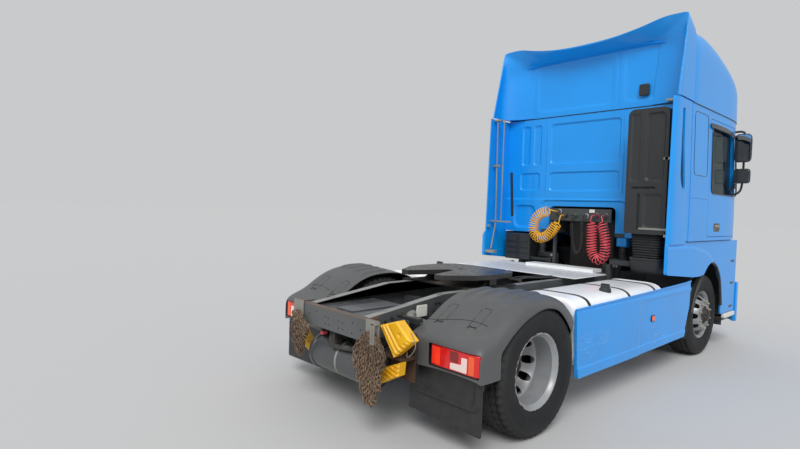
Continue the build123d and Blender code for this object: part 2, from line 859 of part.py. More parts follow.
def cab_body(inset):
    """The cab's solid form, drawn in by inset, from its side, plan and rear outlines."""
    side = [
        (along(cab_back_x), cab_front_bottom_z), (along(cab_back_x), 3900), (along(3000), 3950),
        (along(3500), 3965), (along(3970), 3870), (along(4470), 3690), (along(4900), 3490),
        (along(5085), 3300), (along(5110), 3050), (along(cab_front_x - 15), 2000), (along(cab_front_x), 1800),
        (along(cab_front_x), cab_front_bottom_z),
    ]
    half = body_half_width
    plan = [
        (along(cab_back_x), -half), (along(4200), -half), (along(4850), 95 - half), (along(5030), 185 - half),
        (along(5120), 385 - half), (along(cab_front_x), 795 - half), (along(cab_front_x), half - 795),
        (along(5120), half - 385), (along(5030), half - 185), (along(4850), half - 95), (along(4200), half),
        (along(cab_back_x), half),
    ]
    rear = [
        (-half, cab_front_bottom_z), (half, cab_front_bottom_z), (half, 2000), (half - 20, roof_joint_z),
        (half - 70, 3700), (half - 130, 3900), (half - 240, 3965), (-half + 240, 3965), (-half + 130, 3900),
        (-half + 70, 3700), (-half + 20, roof_joint_z), (-half, 2000),
    ]
    side_face = inset_outline(side, Plane.XZ, inset)
    plan_face = inset_outline(plan, Plane.XY, inset)
    rear_face = inset_outline(rear, Plane.YZ, inset)
    form = extrude(side_face, amount=2000, both=True)
    form &= extrude(plan_face, amount=5000, both=True)
    form &= extrude(rear_face, amount=5000, both=True)
    return form


cab_outer = cab_body(0)
cab_inner = cab_body(cab_wall)
cab_skin = cab_outer - cab_inner
far = 6000
wall_x = along(cab_back_x) + cab_wall
floor_top_z = cab_bottom_z + floor_plate


def cab_roof():
    """The high roof above the joint line, hollow and open below."""
    return cab_skin & block(-far, far, -far, far, roof_joint_z + seam, 2 * far)


def back_wall():
    """The sleeper's rear wall with its pressed panels and the opening over the gearbox."""
    wall = cab_skin & block(-far, wall_x, -far, far, cab_bottom_z + floor_plate, roof_joint_z)
    wall -= block(-far, wall_x + 1, tunnel_right_y, tunnel_left_y, 1000, tunnel_top_z)
    x0 = along(cab_back_x)
    # low y, high y, low z, high z of each pressed panel
    for low_y, high_y, low_z, high_z in (
        (-447, 536, 2390, 2940), (-447, 536, 2020, 2284), (680, 800, 2380, 2940), (860, 980, 2380, 2940),
        (680, 1000, 2030, 2280),
    ):
        wall -= block(x0 - 1, x0 + 10, low_y, high_y, low_z, high_z)
    return wall


def cab_floor():
    """Floor with the engine tunnel, the front bulkhead and the two tilt arms."""
    x0 = along(cab_back_x)
    x1 = along(5000)
    reach = body_half_width - cab_wall
    narrow = body_half_width - 205
    plan = [
        (x0, -reach), (along(4180), -reach), (along(4760), -narrow - 40), (x1, -narrow + 60),
        (x1, narrow - 60), (along(4760), narrow + 40), (along(4180), reach), (x0, reach),
    ]
    floor = slab_z(plan, cab_bottom_z, floor_top_z)
    tunnel = block(x0, along(4600), tunnel_right_y - cab_wall, tunnel_left_y + cab_wall,
                   cab_bottom_z, tunnel_top_z + floor_plate)
    tunnel -= block(x0 - 1, along(4600) - cab_wall, tunnel_right_y, tunnel_left_y,
                    cab_bottom_z - 1, tunnel_top_z)
    floor -= block(x0 - 1, along(4600), tunnel_right_y, tunnel_left_y, cab_bottom_z - 1, floor_top_z + 1)
    floor += tunnel
    floor -= block(x0 - 1, wall_x, -far, tunnel_right_y, floor_top_z, far)
    floor -= block(x0 - 1, wall_x, tunnel_left_y, far, floor_top_z, far)
    floor -= block(x0 - 1, wall_x, -far, far, tunnel_top_z, far)
    floor += block(x1 - 50, x1, -narrow + 60, narrow - 60, cab_bottom_z, 1900)
    for side in (-1, 1):
        low_y = side * tilt_arm_y - tilt_arm_width / 2
        arm = block(along(tilt_pivot_x) - tilt_lug_radius, along(tilt_pivot_x) + tilt_lug_radius, low_y,
                    low_y + tilt_arm_width, tilt_pivot_z, cab_bottom_z + 1)
        arm += block(x1 - 60, along(tilt_pivot_x) + tilt_lug_radius, low_y, low_y + tilt_arm_width,
                     cab_bottom_z - 60, cab_bottom_z + 40)
        arm += rod_y(along(tilt_pivot_x), tilt_pivot_z, tilt_lug_radius, low_y, low_y + tilt_arm_width)
        arm -= rod_y(along(tilt_pivot_x), tilt_pivot_z, tilt_pin_radius + hub_bore_gap, low_y - 1,
                     low_y + tilt_arm_width + 1)
        floor += arm
    return floor


def door_zone(gap):
    """The space that a left door takes in the cab's side, grown by gap."""
    outline = [
        (along(door_rear_x) - gap, door_bottom_z - gap), (along(door_front_x) + gap, door_bottom_z - gap),
        (along(door_front_x) + gap, 2100), (along(door_front_x - 90) + gap, door_top_z + gap),
        (along(door_rear_x) - gap, door_top_z + gap),
    ]
    return slab_y(outline, 900, far)


def window_zone(grow):
    """The opening of a left door's window, grown by grow."""
    outline = [
        (along(window_rear_x) - grow, window_bottom_z - grow), (along(window_front_x) + grow, window_bottom_z - grow),
        (along(window_front_x) + grow, 2150), (along(window_front_x - 90) + grow, window_top_z + grow),
        (along(window_rear_x) - grow, window_top_z + grow),
    ]
    return slab_y(outline, 900, far)


def windscreen_zone(grow):
    """The opening of the windscreen, grown by grow."""
    half = 1010 + grow
    outline = [
        (-half, windscreen_bottom_z - grow), (half, windscreen_bottom_z - grow),
        (half - 40, windscreen_top_z + grow), (-half + 40, windscreen_top_z + grow),
    ]
    return slab_x(outline, along(4700), far)


def cab_sides():
    """Side walls behind, over and under the doors."""
    side = cab_skin & block(wall_x, along(pillar_x), 900, far, cab_bottom_z, roof_joint_z)
    side -= door_zone(moving_gap)
    for solid in side.solids():
        if solid.volume < 1000:
            side -= solid
    return pair(side)


def cab_front():
    """Front panel, corner panels and A pillars, with the windscreen and lid openings cut."""
    front = cab_skin & block(along(pillar_x), far, -far, far, cab_bottom_z, roof_joint_z)
    front += cab_skin & block(along(4930), far, -far, far, cab_front_bottom_z, cab_bottom_z + 1)
    front -= block(-far, far, -far, far, 0, cab_front_bottom_z + cab_wall + 1) & cab_inner
    front -= block(along(4900), along(5098), -1180, 1180, 900, cab_front_bottom_z + cab_wall + 20)
    front -= windscreen_zone(0)
    front -= block(along(5000), far, -lid_half_width - lid_gap, lid_half_width + lid_gap, 0, lid_top_z + lid_gap)
    front -= door_zone(moving_gap)
    front -= across(door_zone(moving_gap))
    x = along(lid_pivot_x)
    low_y = lid_knuckle_y - lid_knuckle_half
    high_y = lid_knuckle_y + lid_knuckle_half
    knuckle_eye = rod_y(x, lid_pivot_z, lid_knuckle_radius, low_y, high_y)
    knuckle_eye += block(x - 6, x + 4, low_y, high_y, lid_pivot_z, lid_top_z + lid_gap + 1)
    knuckle_eye -= rod_y(x, lid_pivot_z, lid_pin_radius + hub_bore_gap, low_y - 1, high_y + 1)
    return front + knuckle_eye + across(knuckle_eye)


def windscreen():
    """Glass set in the front opening."""
    glass = cab_body(glass_inset) - cab_body(glass_inset + glass_plate)
    return glass & windscreen_zone(-fit_gap)


def door():
    """Left door with its window cut."""
    panel = cab_skin & door_zone(0)
    panel -= window_zone(0)
    panel -= block(along(pillar_x) + moving_gap, far, 0, far, 0, far)
    return panel


def door_window():
    """Left door's glass."""
    glass = cab_body(glass_inset) - cab_body(glass_inset + glass_plate)
    return glass & window_zone(-fit_gap)


def mirrors():
    """Left mirror housings on two arms from the door."""
    x = along(mirror_x)
    housing = block(x - 70, x + 30, mirror_inner_y, mirror_outer_y, *mirror_z)
    lower = block(x - 70, x + 30, mirror_inner_y, mirror_outer_y, *wide_mirror_z)
    stalk = block(x - 20, x + 10, mirror_stalk_y, mirror_stalk_y + 30, mirror_arm_z[0], mirror_arm_z[1] + 45)
    mirror_set = housing + lower + stalk
    for arm_z in mirror_arm_z:
        mirror_set += block(x - 15, x + 5, mirror_root_y, mirror_stalk_y + 30, arm_z - 15, arm_z + 15)
    return mirror_set - cab_outer


def grille_lid():
    """Front service lid under the windscreen, hung at its top edge."""
    lid = cab_outer & block(along(5000), far, -lid_half_width, lid_half_width, cab_front_bottom_z, lid_top_z)
    form = cab_body(lid_plate)
    lid -= form
    lid -= Pos(0, 0, -2 * lid_plate) * form
    for low_z in (1010, 1190, 1370, 1550):
        lid -= block(along(cab_front_x) - 8, far, -700, 700, low_z, low_z + 90)
    low_y = lid_knuckle_y - lid_knuckle_half - 4
    high_y = lid_knuckle_y + lid_knuckle_half + 4
    notch = block(along(5000), far, low_y, high_y, lid_pivot_z - 1.5 * lid_knuckle_radius, lid_top_z + 1)
    pin = rod_y(along(lid_pivot_x), lid_pivot_z, lid_pin_radius, low_y - 20, high_y + 20)
    return lid - notch - across(notch) + pin + across(pin)


def sun_visor():
    """Visor over the windscreen's top, on two brackets."""
    front = along(visor_front_x)
    outline = [
        (front - 192, -1040), (front - 52, -960), (front, -500), (front, 500), (front - 52, 960),
        (front - 192, 1040), (front - 197, 1030), (front - 62, 945), (front - 12, 490), (front - 12, -490),
        (front - 62, -945), (front - 197, -1030),
    ]
    visor = slab_z(outline, *visor_z)
    for side in (-1, 1):
        low_y = side * 700 - 20
        visor += block(front - 132, front - 22, low_y, low_y + 40, visor_z[1] - 60, visor_z[1] - 30)
    return visor - cab_outer


def air_deflectors():
    """Roof hood with its side plates, and the two tall side collars."""
    outer = body_half_width
    top = overall_height
    root_x = along(cab_back_x) - fit_gap
    hood = [
        (-1214, top), (-943, top), (-319, top - hood_dip), (319, top - hood_dip), (943, top), (1214, top),
        (1222, top - 12), (1228, roof_joint_z + seam), (1198, roof_joint_z + seam), (1175, top - 85),
        (930, top - 55), (310, top - hood_dip - 50), (-310, top - hood_dip - 50), (-930, top - 55),
        (-1175, top - 85), (-1198, roof_joint_z + seam), (-1228, roof_joint_z + seam), (-1222, top - 12),
    ]
    hood_solid = slab_x(hood, along(hood_rear_x), root_x)
    cutter = slab_y([
        (along(collar_rear_x), 2900), (along(hood_rear_x), roof_joint_z), (along(hood_top_rear_x), top + 10),
        (along(collar_rear_x), top + 10),
    ], -far, far)
    hood_solid -= cutter
    collar = block(along(collar_rear_x), root_x, outer - collar_plate, outer, collar_bottom_z, roof_joint_z - 2 * seam)
    collar -= block(along(collar_slot_x[0]), along(collar_slot_x[1]), outer - collar_plate - 10, outer + 1,
                    *collar_slot_z)
    return group(hood_solid, collar, across(collar))


def intake_snorkel():
    """Air intake standing behind the cab on the right, with its bellows."""
    x0 = along(snorkel_rear_x)
    x1 = along(cab_back_x) - fit_gap
    low_y, high_y = snorkel_y
    snorkel = block(x0, x1, low_y, high_y, snorkel_bottom_z, snorkel_top_z)
    snorkel = chamfer(snorkel.edges().filter_by(Axis.Z), 40)
    for low_z in bellows_levels:
        snorkel += block(x0 + 30, x1 - 40, low_y + 30, high_y - 30, low_z, low_z + bellows_fold)
        snorkel += block(x0 + 50, x1 - 60, low_y + 50, high_y - 50, low_z - 1, low_z + bellows_fold + 17)
    return snorkel


def air_filter():
    """Filter bowl under the intake's bellows, carried from the right rail."""
    x0 = along(filter_rear_x)
    bowl = block(x0, x0 + filter_length, *filter_y, filter_bottom_z, filter_top_z)
    bowl = chamfer(bowl.faces().sort_by(Axis.Z)[0].edges(), 60)
    arm_x = along(filter_arm_x)
    bowl += block(arm_x, arm_x + filter_arm_width, filter_y[1] - 20, -rail_outer_y, 1120, 1180)
    bowl += block(arm_x, arm_x + filter_arm_width, -rail_outer_y - 60, -rail_outer_y, 880, 1180)
    return bowl


def battery_box():
    """Dark equipment box behind the cab's left corner."""
    x0 = along(battery_rear_x)
    box = block(x0, x0 + battery_length, *battery_y, *battery_z)
    box += block(x0 + 40, x0 + 120, rail_outer_y, battery_y[0] + 20, battery_z[0] + 10, battery_z[0] + 50)
    box += block(x0 + 40, x0 + 120, rail_outer_y, rail_outer_y + 60, 880, battery_z[0] + 50)
    return box


def coupling_panel():
    """Panel with the air and electric sockets, on two posts from the rails."""
    x0 = along(panel_x)
    panel = block(x0, x0 + panel_plate, *panel_y, *panel_z)
    for side in (-1, 1):
        low_y = side * panel_post_y - 20
        panel += block(x0, x0 + 40, low_y, low_y + 40, rail_top_z, panel_z[0] + 10)
    for socket_y, socket_z in socket_places:
        length = x0 - socket_x
        panel += Pos(x0 - length / 2, socket_y, socket_z) * Rot(0, 90, 0) * Cylinder(socket_radius, length)
    return panel


def cab_mount(spring_y):
    """A rear cab spring: an arch from the left rail with a spring leg under the cab's floor."""
    x0 = along(cab_spring_x)
    leg = block(x0, x0 + 80, rail_outer_y, rail_outer_y + 80, 880, 1180)
    leg += block(x0, x0 + 80, rail_outer_y, spring_y + 40, 1120, 1180)
    leg += rod_z(x0 + 40, spring_y, cab_spring_radius, 1170, cab_bottom_z - 12)
    return leg


# Front

def bumper():
    """Bumper shell with its wrapped corners and the rails' end plate."""
    face = front_face_x
    outline = [
        (face - bumper_depth, -body_half_width), (face - 190, -body_half_width), (face - 60, 125 - body_half_width),
        (face, -700), (face, 700), (face - 60, body_half_width - 125), (face - 190, body_half_width),
        (face - bumper_depth, body_half_width), (face - bumper_depth, body_half_width - bumper_wall),
        (face - 215, body_half_width - bumper_wall), (face - 110, body_half_width - 165), (face - bumper_wall, 680),
        (face - bumper_wall, -680), (face - 110, 165 - body_half_width), (face - 215, bumper_wall - body_half_width),
        (face - bumper_depth, -body_half_width + bumper_wall),
    ]
    shell = slab_z(outline, bumper_bottom_z, bumper_top_z)
    for low_y in (headlamp_inner_y, -headlamp_outer_y):
        shell -= block(face - bumper_depth - 1, face + 1, low_y, low_y + headlamp_outer_y - headlamp_inner_y,
                       headlamp_bottom_z, headlamp_top_z)
    shell -= block(face - 20, face + 1, -620, 620, 420, 560)
    stay = block(along(rail_front_x), face - bumper_wall + 1, rail_outer_y - rail_flange, rail_outer_y,
                 rail_bottom_z, rail_bottom_z + 80)
    return shell + stay + across(stay)


def headlamps():
    """Lamp units in the bumper's two openings."""
    face = front_face_x
    inner_y = headlamp_inner_y + fit_gap
    outer_y = headlamp_outer_y - fit_gap
    outline = [
        (face - 12, inner_y), (face - 66, outer_y - 44), (face - 118, outer_y), (face - 170, outer_y),
        (face - 130, inner_y),
    ]
    lamp = slab_z(outline, headlamp_bottom_z + fit_gap, headlamp_top_z - fit_gap)
    return pair(lamp)


def tilt_brackets():
    """Lugs on the rails' front ends that carry the cab's tilt pin."""
    x = along(tilt_pivot_x)
    low_y = tilt_arm_y - tilt_arm_width / 2 - 30
    lug = block(along(rail_front_x), x, low_y, low_y + 24, tilt_pivot_z - tilt_lug_radius, tilt_pivot_z + 20)
    lug += rod_y(x, tilt_pivot_z, tilt_lug_radius, low_y, low_y + 24)
    lug += rod_y(x, tilt_pivot_z, tilt_pin_radius, low_y, low_y + 24 + tilt_arm_width + 8)
    lug += block(along(rail_front_x - 60), along(rail_front_x) + 1, rail_outer_y, low_y + 24,
                 tilt_pivot_z - tilt_lug_radius, tilt_pivot_z + 20)
    return pair(lug)


# Cab furniture

def seats():
    """Two seats and the bunk behind them."""
    x0 = along(3760)
    seat = block(x0, x0 + 520, 560, 1040, floor_top_z + 300, floor_top_z + 450)
    seat += block(x0 - 60, x0 + 80, 570, 1030, floor_top_z + 400, floor_top_z + 1150)
    seat += block(x0 + 100, x0 + 400, 660, 940, floor_top_z, floor_top_z + 310)
    bunk = block(wall_x, wall_x + 620, -1150, 1150, tunnel_top_z + floor_plate, tunnel_top_z + floor_plate + 220)
    return group(seat, across(seat), bunk)


def dashboard():
    """Dashboard across the cab with the steering wheel on the left."""
    x1 = along(4945)
    dash = block(x1 - 330, x1, -1000, 1000, 1880, 2080)
    dash += block(x1 - 420, x1 - 200, 350, 950, 1900, 2160)
    dash += block(x1 - 60, x1, -1000, 1000, floor_top_z, 1890)
    column = Pos(x1 - 460, 650, 2110) * Rot(0, -55, 0) * Cylinder(30, 240)
    wheel = Pos(x1 - 520, 650, 2150) * Rot(0, -35, 0) * (Torus(215, 17) + Box(40, 420, 16) + Cylinder(70, 24))
    return dash + column + wheel


# Curly lines

def bend_radii(points):
    """0.45 of the shorter run over the tangent of half the turn, at each corner."""
    radii = []
    for before, corner, after in zip(points, points[1:], points[2:]):
        first = Vector(*corner) - Vector(*before)
        second = Vector(*after) - Vector(*corner)
        half_turn = math.radians(first.get_angle(second)) / 2
        radii.append(0.45 * min(first.length, second.length) / math.tan(half_turn))
    return radii


def tube(points, radius):
    """A tube along straight runs joined by tangent arcs."""
    path = FilletPolyline(*points, radius=bend_radii(points))
    return sweep(Plane(origin=path @ 0, z_dir=path % 0) * Circle(radius), path=path)


def curly_line(first_lead, coil, last_lead, curl_radius):
    """A plain lead from a socket, the coil as one fat tube, and a plain lead back to a socket."""
    return tube(coil, curl_radius) + tube(first_lead, line_radius) + tube(last_lead, line_radius)


socket_x = along(2729)
line_x = along(2640)
# y and z of the sockets' centres, in pairs for the yellow, black and red lines
socket_places = [(290, 1750), (200, 1700), (60, 1700), (-90, 1700), (-230, 1710), (-350, 1710)]


def hanging(places):
    """Points in the plane where the lines hang."""
    return [(line_x, y, z) for y, z in places]


yellow_coil = hanging([
    (360, 1750), (470, 1730), (560, 1650), (600, 1530), (570, 1420), (480, 1375), (370, 1420), (290, 1510),
    (235, 1600),
])
yellow_first = [(socket_x, 290, 1750), (line_x, 290, 1750), (line_x, 380, 1748)]
yellow_last = [(line_x, 240, 1590), (line_x, 200, 1700), (socket_x, 200, 1700)]
red_coil = hanging([
    (-232, 1630), (-215, 1500), (-200, 1380), (-210, 1270), (-255, 1190), (-310, 1165), (-365, 1190),
    (-405, 1270), (-405, 1380), (-390, 1500), (-360, 1630),
])
red_first = [(socket_x, -230, 1710), (line_x, -230, 1710), (line_x, -231, 1620)]
red_last = [(line_x, -361, 1620), (line_x, -350, 1710), (socket_x, -350, 1710)]
black_coil = hanging([
    (62, 1620), (70, 1480), (50, 1350), (10, 1255), (-40, 1230), (-85, 1290), (-98, 1400), (-95, 1500),
    (-91, 1620),
])
black_first = [(socket_x, 60, 1700), (line_x, 60, 1700), (line_x, 61, 1610)]
black_last = [(line_x, -91, 1610), (line_x, -90, 1700), (socket_x, -90, 1700)]


NODES = {
    "frame_rails": frame_rails(),
    "frame_members": frame_members(),
    "rear_beam": rear_beam(),
    "chain_bundles": chain_bundles(),
    "wheel_chocks": wheel_chocks(),
    "rear_air_tank": rear_air_tank(),
    "rear_axle": rear_axle(),
    "air_springs": air_springs(),
    "front_axle": front_axle(),
    "knuckle_left": knuckle(),
    "knuckle_right": across(knuckle()),
    "engine": engine(),
    "gearbox": gearbox(),
    "fuel_tanks": fuel_tanks(),
    "catwalk": catwalk(),
    "side_skirts": side_skirts(),
    "front_wings": front_wings(),
    "step_boxes": step_boxes(),
    "arch_liners": arch_liners(),
    "rear_mudguards": rear_mudguards(),
    "mud_flaps": mud_flaps(),
    "tail_lamps": tail_lamps(),
    "fifth_wheel_base": fifth_wheel_base(),
    "fifth_wheel_plate": fifth_wheel_plate(),
    "front_tyre_left": front_tyre,
    "front_tyre_right": across(front_tyre),
    "front_rim_left": front_rim(),
    "front_rim_right": across(front_rim()),
    "rear_tyres_left": rear_tyres,
    "rear_tyres_right": across(rear_tyres),
    "rear_rims_left": rear_rims(),
    "rear_rims_right": across(rear_rims()),
    "cab_roof": cab_roof(),
    "cab_back_wall": back_wall(),
    "cab_floor": cab_floor(),
    "cab_sides": cab_sides(),
    "cab_front": cab_front(),
    "windscreen": windscreen(),
    "door_left": door(),
    "door_right": across(door()),
    "window_left": door_window(),
    "window_right": across(door_window()),
    "mirrors_left": mirrors(),
    "mirrors_right": across(mirrors()),
    "grille_lid": grille_lid(),
    "sun_visor": sun_visor(),
    "air_deflectors": air_deflectors(),
    "intake_snorkel": intake_snorkel(),
    "air_filter": air_filter(),
    "battery_box": battery_box(),
    "coupling_panel": coupling_panel(),
    "cab_supports": group(
        cab_mount(cab_spring_left_y), across(cab_mount(cab_spring_right_y)), tilt_brackets(),
    ),
    "bumper": bumper(),
    "headlamps": headlamps(),
    "seats": seats(),
    "dashboard": dashboard(),
    "yellow_air_line": curly_line(yellow_first, yellow_coil, yellow_last, air_curl_radius),
    "red_air_line": curly_line(red_first, red_coil, red_last, air_curl_radius),
    "black_lead": curly_line(black_first, black_coil, black_last, lead_curl_radius),
}

os.makedirs("parts", exist_ok=True)
for name, shape in NODES.items():
    export_step(shape, f"parts/{name}.step")
print(len(NODES), "nodes")
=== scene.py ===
# %% [markdown]
# A two-axle tractor unit, dressed for a portrait from behind on its right side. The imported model
# comes in first as a fixed frame: it says where every piece of the vehicle is, so that nothing
# here has to be fitted by eye. Everything below is in metres, +X forward, +Y left, +Z up.

# %% The frame
import math

import bmesh
import bpy
import numpy as np
from mathutils import Matrix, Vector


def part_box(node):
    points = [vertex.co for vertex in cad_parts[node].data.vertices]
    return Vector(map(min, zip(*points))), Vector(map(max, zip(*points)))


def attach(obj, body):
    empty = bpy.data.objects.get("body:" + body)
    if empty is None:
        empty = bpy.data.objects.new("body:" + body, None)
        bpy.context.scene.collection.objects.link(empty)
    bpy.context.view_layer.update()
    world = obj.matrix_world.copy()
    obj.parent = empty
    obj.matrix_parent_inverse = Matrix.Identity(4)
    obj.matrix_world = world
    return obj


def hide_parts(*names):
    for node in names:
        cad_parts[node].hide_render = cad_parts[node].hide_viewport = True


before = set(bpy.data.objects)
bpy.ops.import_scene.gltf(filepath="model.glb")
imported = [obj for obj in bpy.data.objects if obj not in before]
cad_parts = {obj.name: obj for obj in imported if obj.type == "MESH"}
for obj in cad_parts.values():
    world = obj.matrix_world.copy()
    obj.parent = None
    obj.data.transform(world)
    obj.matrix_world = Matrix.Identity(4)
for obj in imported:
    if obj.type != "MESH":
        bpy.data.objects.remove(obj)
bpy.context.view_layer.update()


def middle(node):
    """The middle of a node's box."""
    low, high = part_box(node)
    return (np.array(low) + np.array(high)) / 2


rear_x, _, axle_z = middle("rear_rims_left")
front_x = middle("front_rim_left")[0]


def ahead(distance):
    """X of a place this far in front of the rear axle."""
    return rear_x + distance


print("rear axle at", round(rear_x, 3), "front axle at", round(front_x, 3))

# %% [markdown]
# The camera stands at eye height behind the right rear corner, with a wide
# lens. Its place and turn were solved from the tyres, the cab's edges and the frame. The picture
# is tipped by two degrees, which the roll repeats. A look-at constraint can't hold a roll, so the
# three axes are written out: f is the way it looks, r points right and u points up.

# %% Camera
camera_place = np.array([ahead(-3.4664), -3.3714, 1.7138])
camera_yaw, camera_pitch, camera_roll = 0.8269, -0.0288, 0.035
focal_share = 0.65051          # focal length over the frame's width
sensor_width = 36.0
axis_rise = 0.00136            # the optical axis passes this far above the frame's middle


def camera_axes(yaw, pitch, roll):
    """Right, up and backward axes: the level axes turned about the line of sight by the roll."""
    look = np.array([math.cos(yaw) * math.cos(pitch), math.sin(yaw) * math.cos(pitch), math.sin(pitch)])
    level = np.array([math.sin(yaw), -math.cos(yaw), 0.0])
    rise = np.cross(level, look)
    right = math.cos(roll) * level + math.sin(roll) * rise
    up = -math.sin(roll) * level + math.cos(roll) * rise
    return np.stack([right, up, -look], axis=1)


camera = bpy.data.objects.new("camera", bpy.data.cameras.new("camera"))
bpy.context.scene.collection.objects.link(camera)
turn = np.eye(4)
turn[:3, :3] = camera_axes(camera_yaw, camera_pitch, camera_roll)
turn[:3, 3] = camera_place
camera.matrix_world = Matrix(turn.tolist())
camera.data.sensor_width = sensor_width
camera.data.lens = focal_share * sensor_width
camera.data.shift_y = -axis_rise
camera.data.clip_end = 200.0
bpy.context.scene.camera = camera

# %% [markdown]
# Most pieces are surfaces worked out with numpy. A Form holds points and faces while it is in
# the making, so that forms can be moved, mirrored, repeated and added up before any of them
# becomes a mesh. Blender's own add-cube calls could do the same one object at a time, but
# hundreds of chain links or bolts are far quicker as one array.

# %% Forms
class Form:
    """Points, and groups of faces with the same number of corners."""

    def __init__(self, points, faces):
        self.points = np.asarray(points, dtype=float).reshape(-1, 3)
        self.faces = [np.asarray(group, dtype=int) for group in faces if len(group)]

    def __add__(self, other):
        start = len(self.points)
        return Form(np.vstack([self.points, other.points]), self.faces + [group + start for group in other.faces])

    def moved(self, x=0.0, y=0.0, z=0.0):
        return Form(self.points + np.array([x, y, z]), self.faces)

    def mirrored(self):
        """The form on the other side of the vehicle, with its faces still pointing outwards."""
        return Form(self.points * np.array([1.0, -1.0, 1.0]), [group[:, ::-1] for group in self.faces])

    def both(self):
        return self + self.mirrored()

    def sided(self, side):
        """The form for the left, its mirror image for the right."""
        return self if side == "left" else self.mirrored()


def repeated(form, matrices):
    """One copy of the form for each 3 x 4 matrix, all worked out in one product."""
    matrices = np.asarray(matrices, dtype=float)
    count = len(form.points)
    points = np.einsum("kij,nj->kni", matrices[:, :, :3], form.points) + matrices[:, None, :, 3]
    starts = np.arange(len(matrices))[:, None, None] * count
    faces = [(group[None] + starts).reshape(-1, group.shape[1]) for group in form.faces]
    return Form(points.reshape(-1, 3), faces)


def placed(places, forward=(1.0, 0.0, 0.0), up=(0.0, 0.0, 1.0)):
    """Matrices that put a form at each place, its X along forward and its Z along up."""
    forward, up = np.asarray(forward, dtype=float), np.asarray(up, dtype=float)
    side = np.cross(up, forward)
    places = np.asarray(places, dtype=float).reshape(-1, 3)
    turn = np.stack([forward, side, up], axis=1)
    return np.concatenate([np.tile(turn, (len(places), 1, 1)), places[:, :, None]], axis=2)


def unit(vectors):
    """The vectors at length one."""
    return vectors / np.linalg.norm(vectors, axis=-1, keepdims=True)


def run_length(points):
    return float(np.linalg.norm(np.diff(points, axis=0), axis=1).sum())


def points_along(path, places):
    """Points on the path at these distances from its start."""
    walked = np.concatenate([[0.0], np.cumsum(np.linalg.norm(np.diff(path, axis=0), axis=1))])
    return np.column_stack([np.interp(places, walked, path[:, axis]) for axis in range(3)])


def together(forms):
    total = forms[0]
    for form in forms[1:]:
        total = total + form
    return total


# %% [markdown]
# Four ways to make a Form cover nearly everything on a truck: a grid of points that is a surface
# of two parameters, an outline turned about an axle, an outline carried along a straight line,
# and a round section carried along a curve.

# %% Ways to make a form
def grid_faces(rows, columns, wrap_rows=False, wrap_columns=False):
    """Four point numbers for each cell of a grid; a wrapped side joins back to its start."""
    row = np.arange(rows if wrap_rows else rows - 1)[:, None]
    column = np.arange(columns if wrap_columns else columns - 1)[None, :]
    next_row, next_column = (row + 1) % rows, (column + 1) % columns
    corners = [row * columns + column, next_row * columns + column,
               next_row * columns + next_column, row * columns + next_column]
    return np.stack(np.broadcast_arrays(*corners), axis=-1).reshape(-1, 4)


def surface(points, wrap_rows=False, wrap_columns=False):
    """An open or wrapped sheet through a rows x columns array of points."""
    rows, columns = points.shape[:2]
    return Form(points, [grid_faces(rows, columns, wrap_rows, wrap_columns)])


def walled(outer, inner):
    """A closed wall between two sheets of the same grid: both faces, and a strip along each edge."""
    rows, columns = outer.shape[:2]
    count = rows * columns
    front = grid_faces(rows, columns)
    back = front[:, ::-1] + count
    index = np.arange(count).reshape(rows, columns)
    rim = np.concatenate([index[0, :], index[1:, -1], index[-1, -2::-1], index[-2:0:-1, 0]])
    after = np.roll(rim, -1)
    edge = np.stack([rim, after, after + count, rim + count], axis=1)
    return Form(np.vstack([outer.reshape(-1, 3), inner.reshape(-1, 3)]), [np.vstack([front, back, edge])])


def tubular(rings):
    """A closed solid through rings of points, with a flat cap at each end."""
    count, corners = rings.shape[:2]
    first = np.arange(corners)[None, ::-1]
    last = (count - 1) * corners + np.arange(corners)[None, :]
    return Form(rings, [grid_faces(count, corners, wrap_columns=True), first, last])


axis_orders = {"x": (2, 0, 1), "y": (0, 2, 1), "z": (0, 1, 2)}


def slab(outline, low, high, axis="y"):
    """A two-column outline carried from low to high along an axis, with flat caps.

    The outline is (y, z) for x, (x, z) for y and (x, y) for z.
    """
    outline = np.asarray(outline, dtype=float)
    flat = [np.column_stack([outline, np.full(len(outline), level)]) for level in (low, high)]
    rings = np.stack(flat)[:, :, axis_orders[axis]]
    return tubular(rings)


def rounded(outline, radius, steps=4):
    """The outline with each corner replaced by a curve.

    Each corner P becomes (1-t)^2 A + 2t(1-t) P + t^2 B, where A and B lie radius away from P on
    its two sides, or at 0.45 of a shorter side.
    """
    corner = np.asarray(outline, dtype=float)
    before, after = np.roll(corner, 1, axis=0) - corner, np.roll(corner, -1, axis=0) - corner
    reach = [np.minimum(radius, 0.45 * np.linalg.norm(side, axis=1))[:, None] for side in (before, after)]
    start, end = corner + unit(before) * reach[0], corner + unit(after) * reach[1]
    t = np.linspace(0.0, 1.0, steps + 1)[None, :, None]
    curve = (1 - t) ** 2 * start[:, None] + 2 * t * (1 - t) * corner[:, None] + t ** 2 * end[:, None]
    return curve.reshape(-1, 2)


def rectangle(low_a, high_a, low_b, high_b):
    return np.array([(low_a, low_b), (high_a, low_b), (high_a, high_b), (low_a, high_b)])


def block(x, y, z, radius=0.0, axis="z", steps=3):
    """A box from three (low, high) pairs, with its corners along the axis rounded."""
    across = {"x": (y, z, x), "y": (x, z, y), "z": (x, y, z)}[axis]
    outline = rectangle(*across[0], *across[1])
    if radius:
        outline = rounded(outline, radius, steps)
    return slab(outline, *across[2], axis=axis)


def box_at(x, *rest, **options):
    """A block whose X pair is given ahead of the rear axle."""
    return block((ahead(x[0]), ahead(x[1])), *rest, **options)


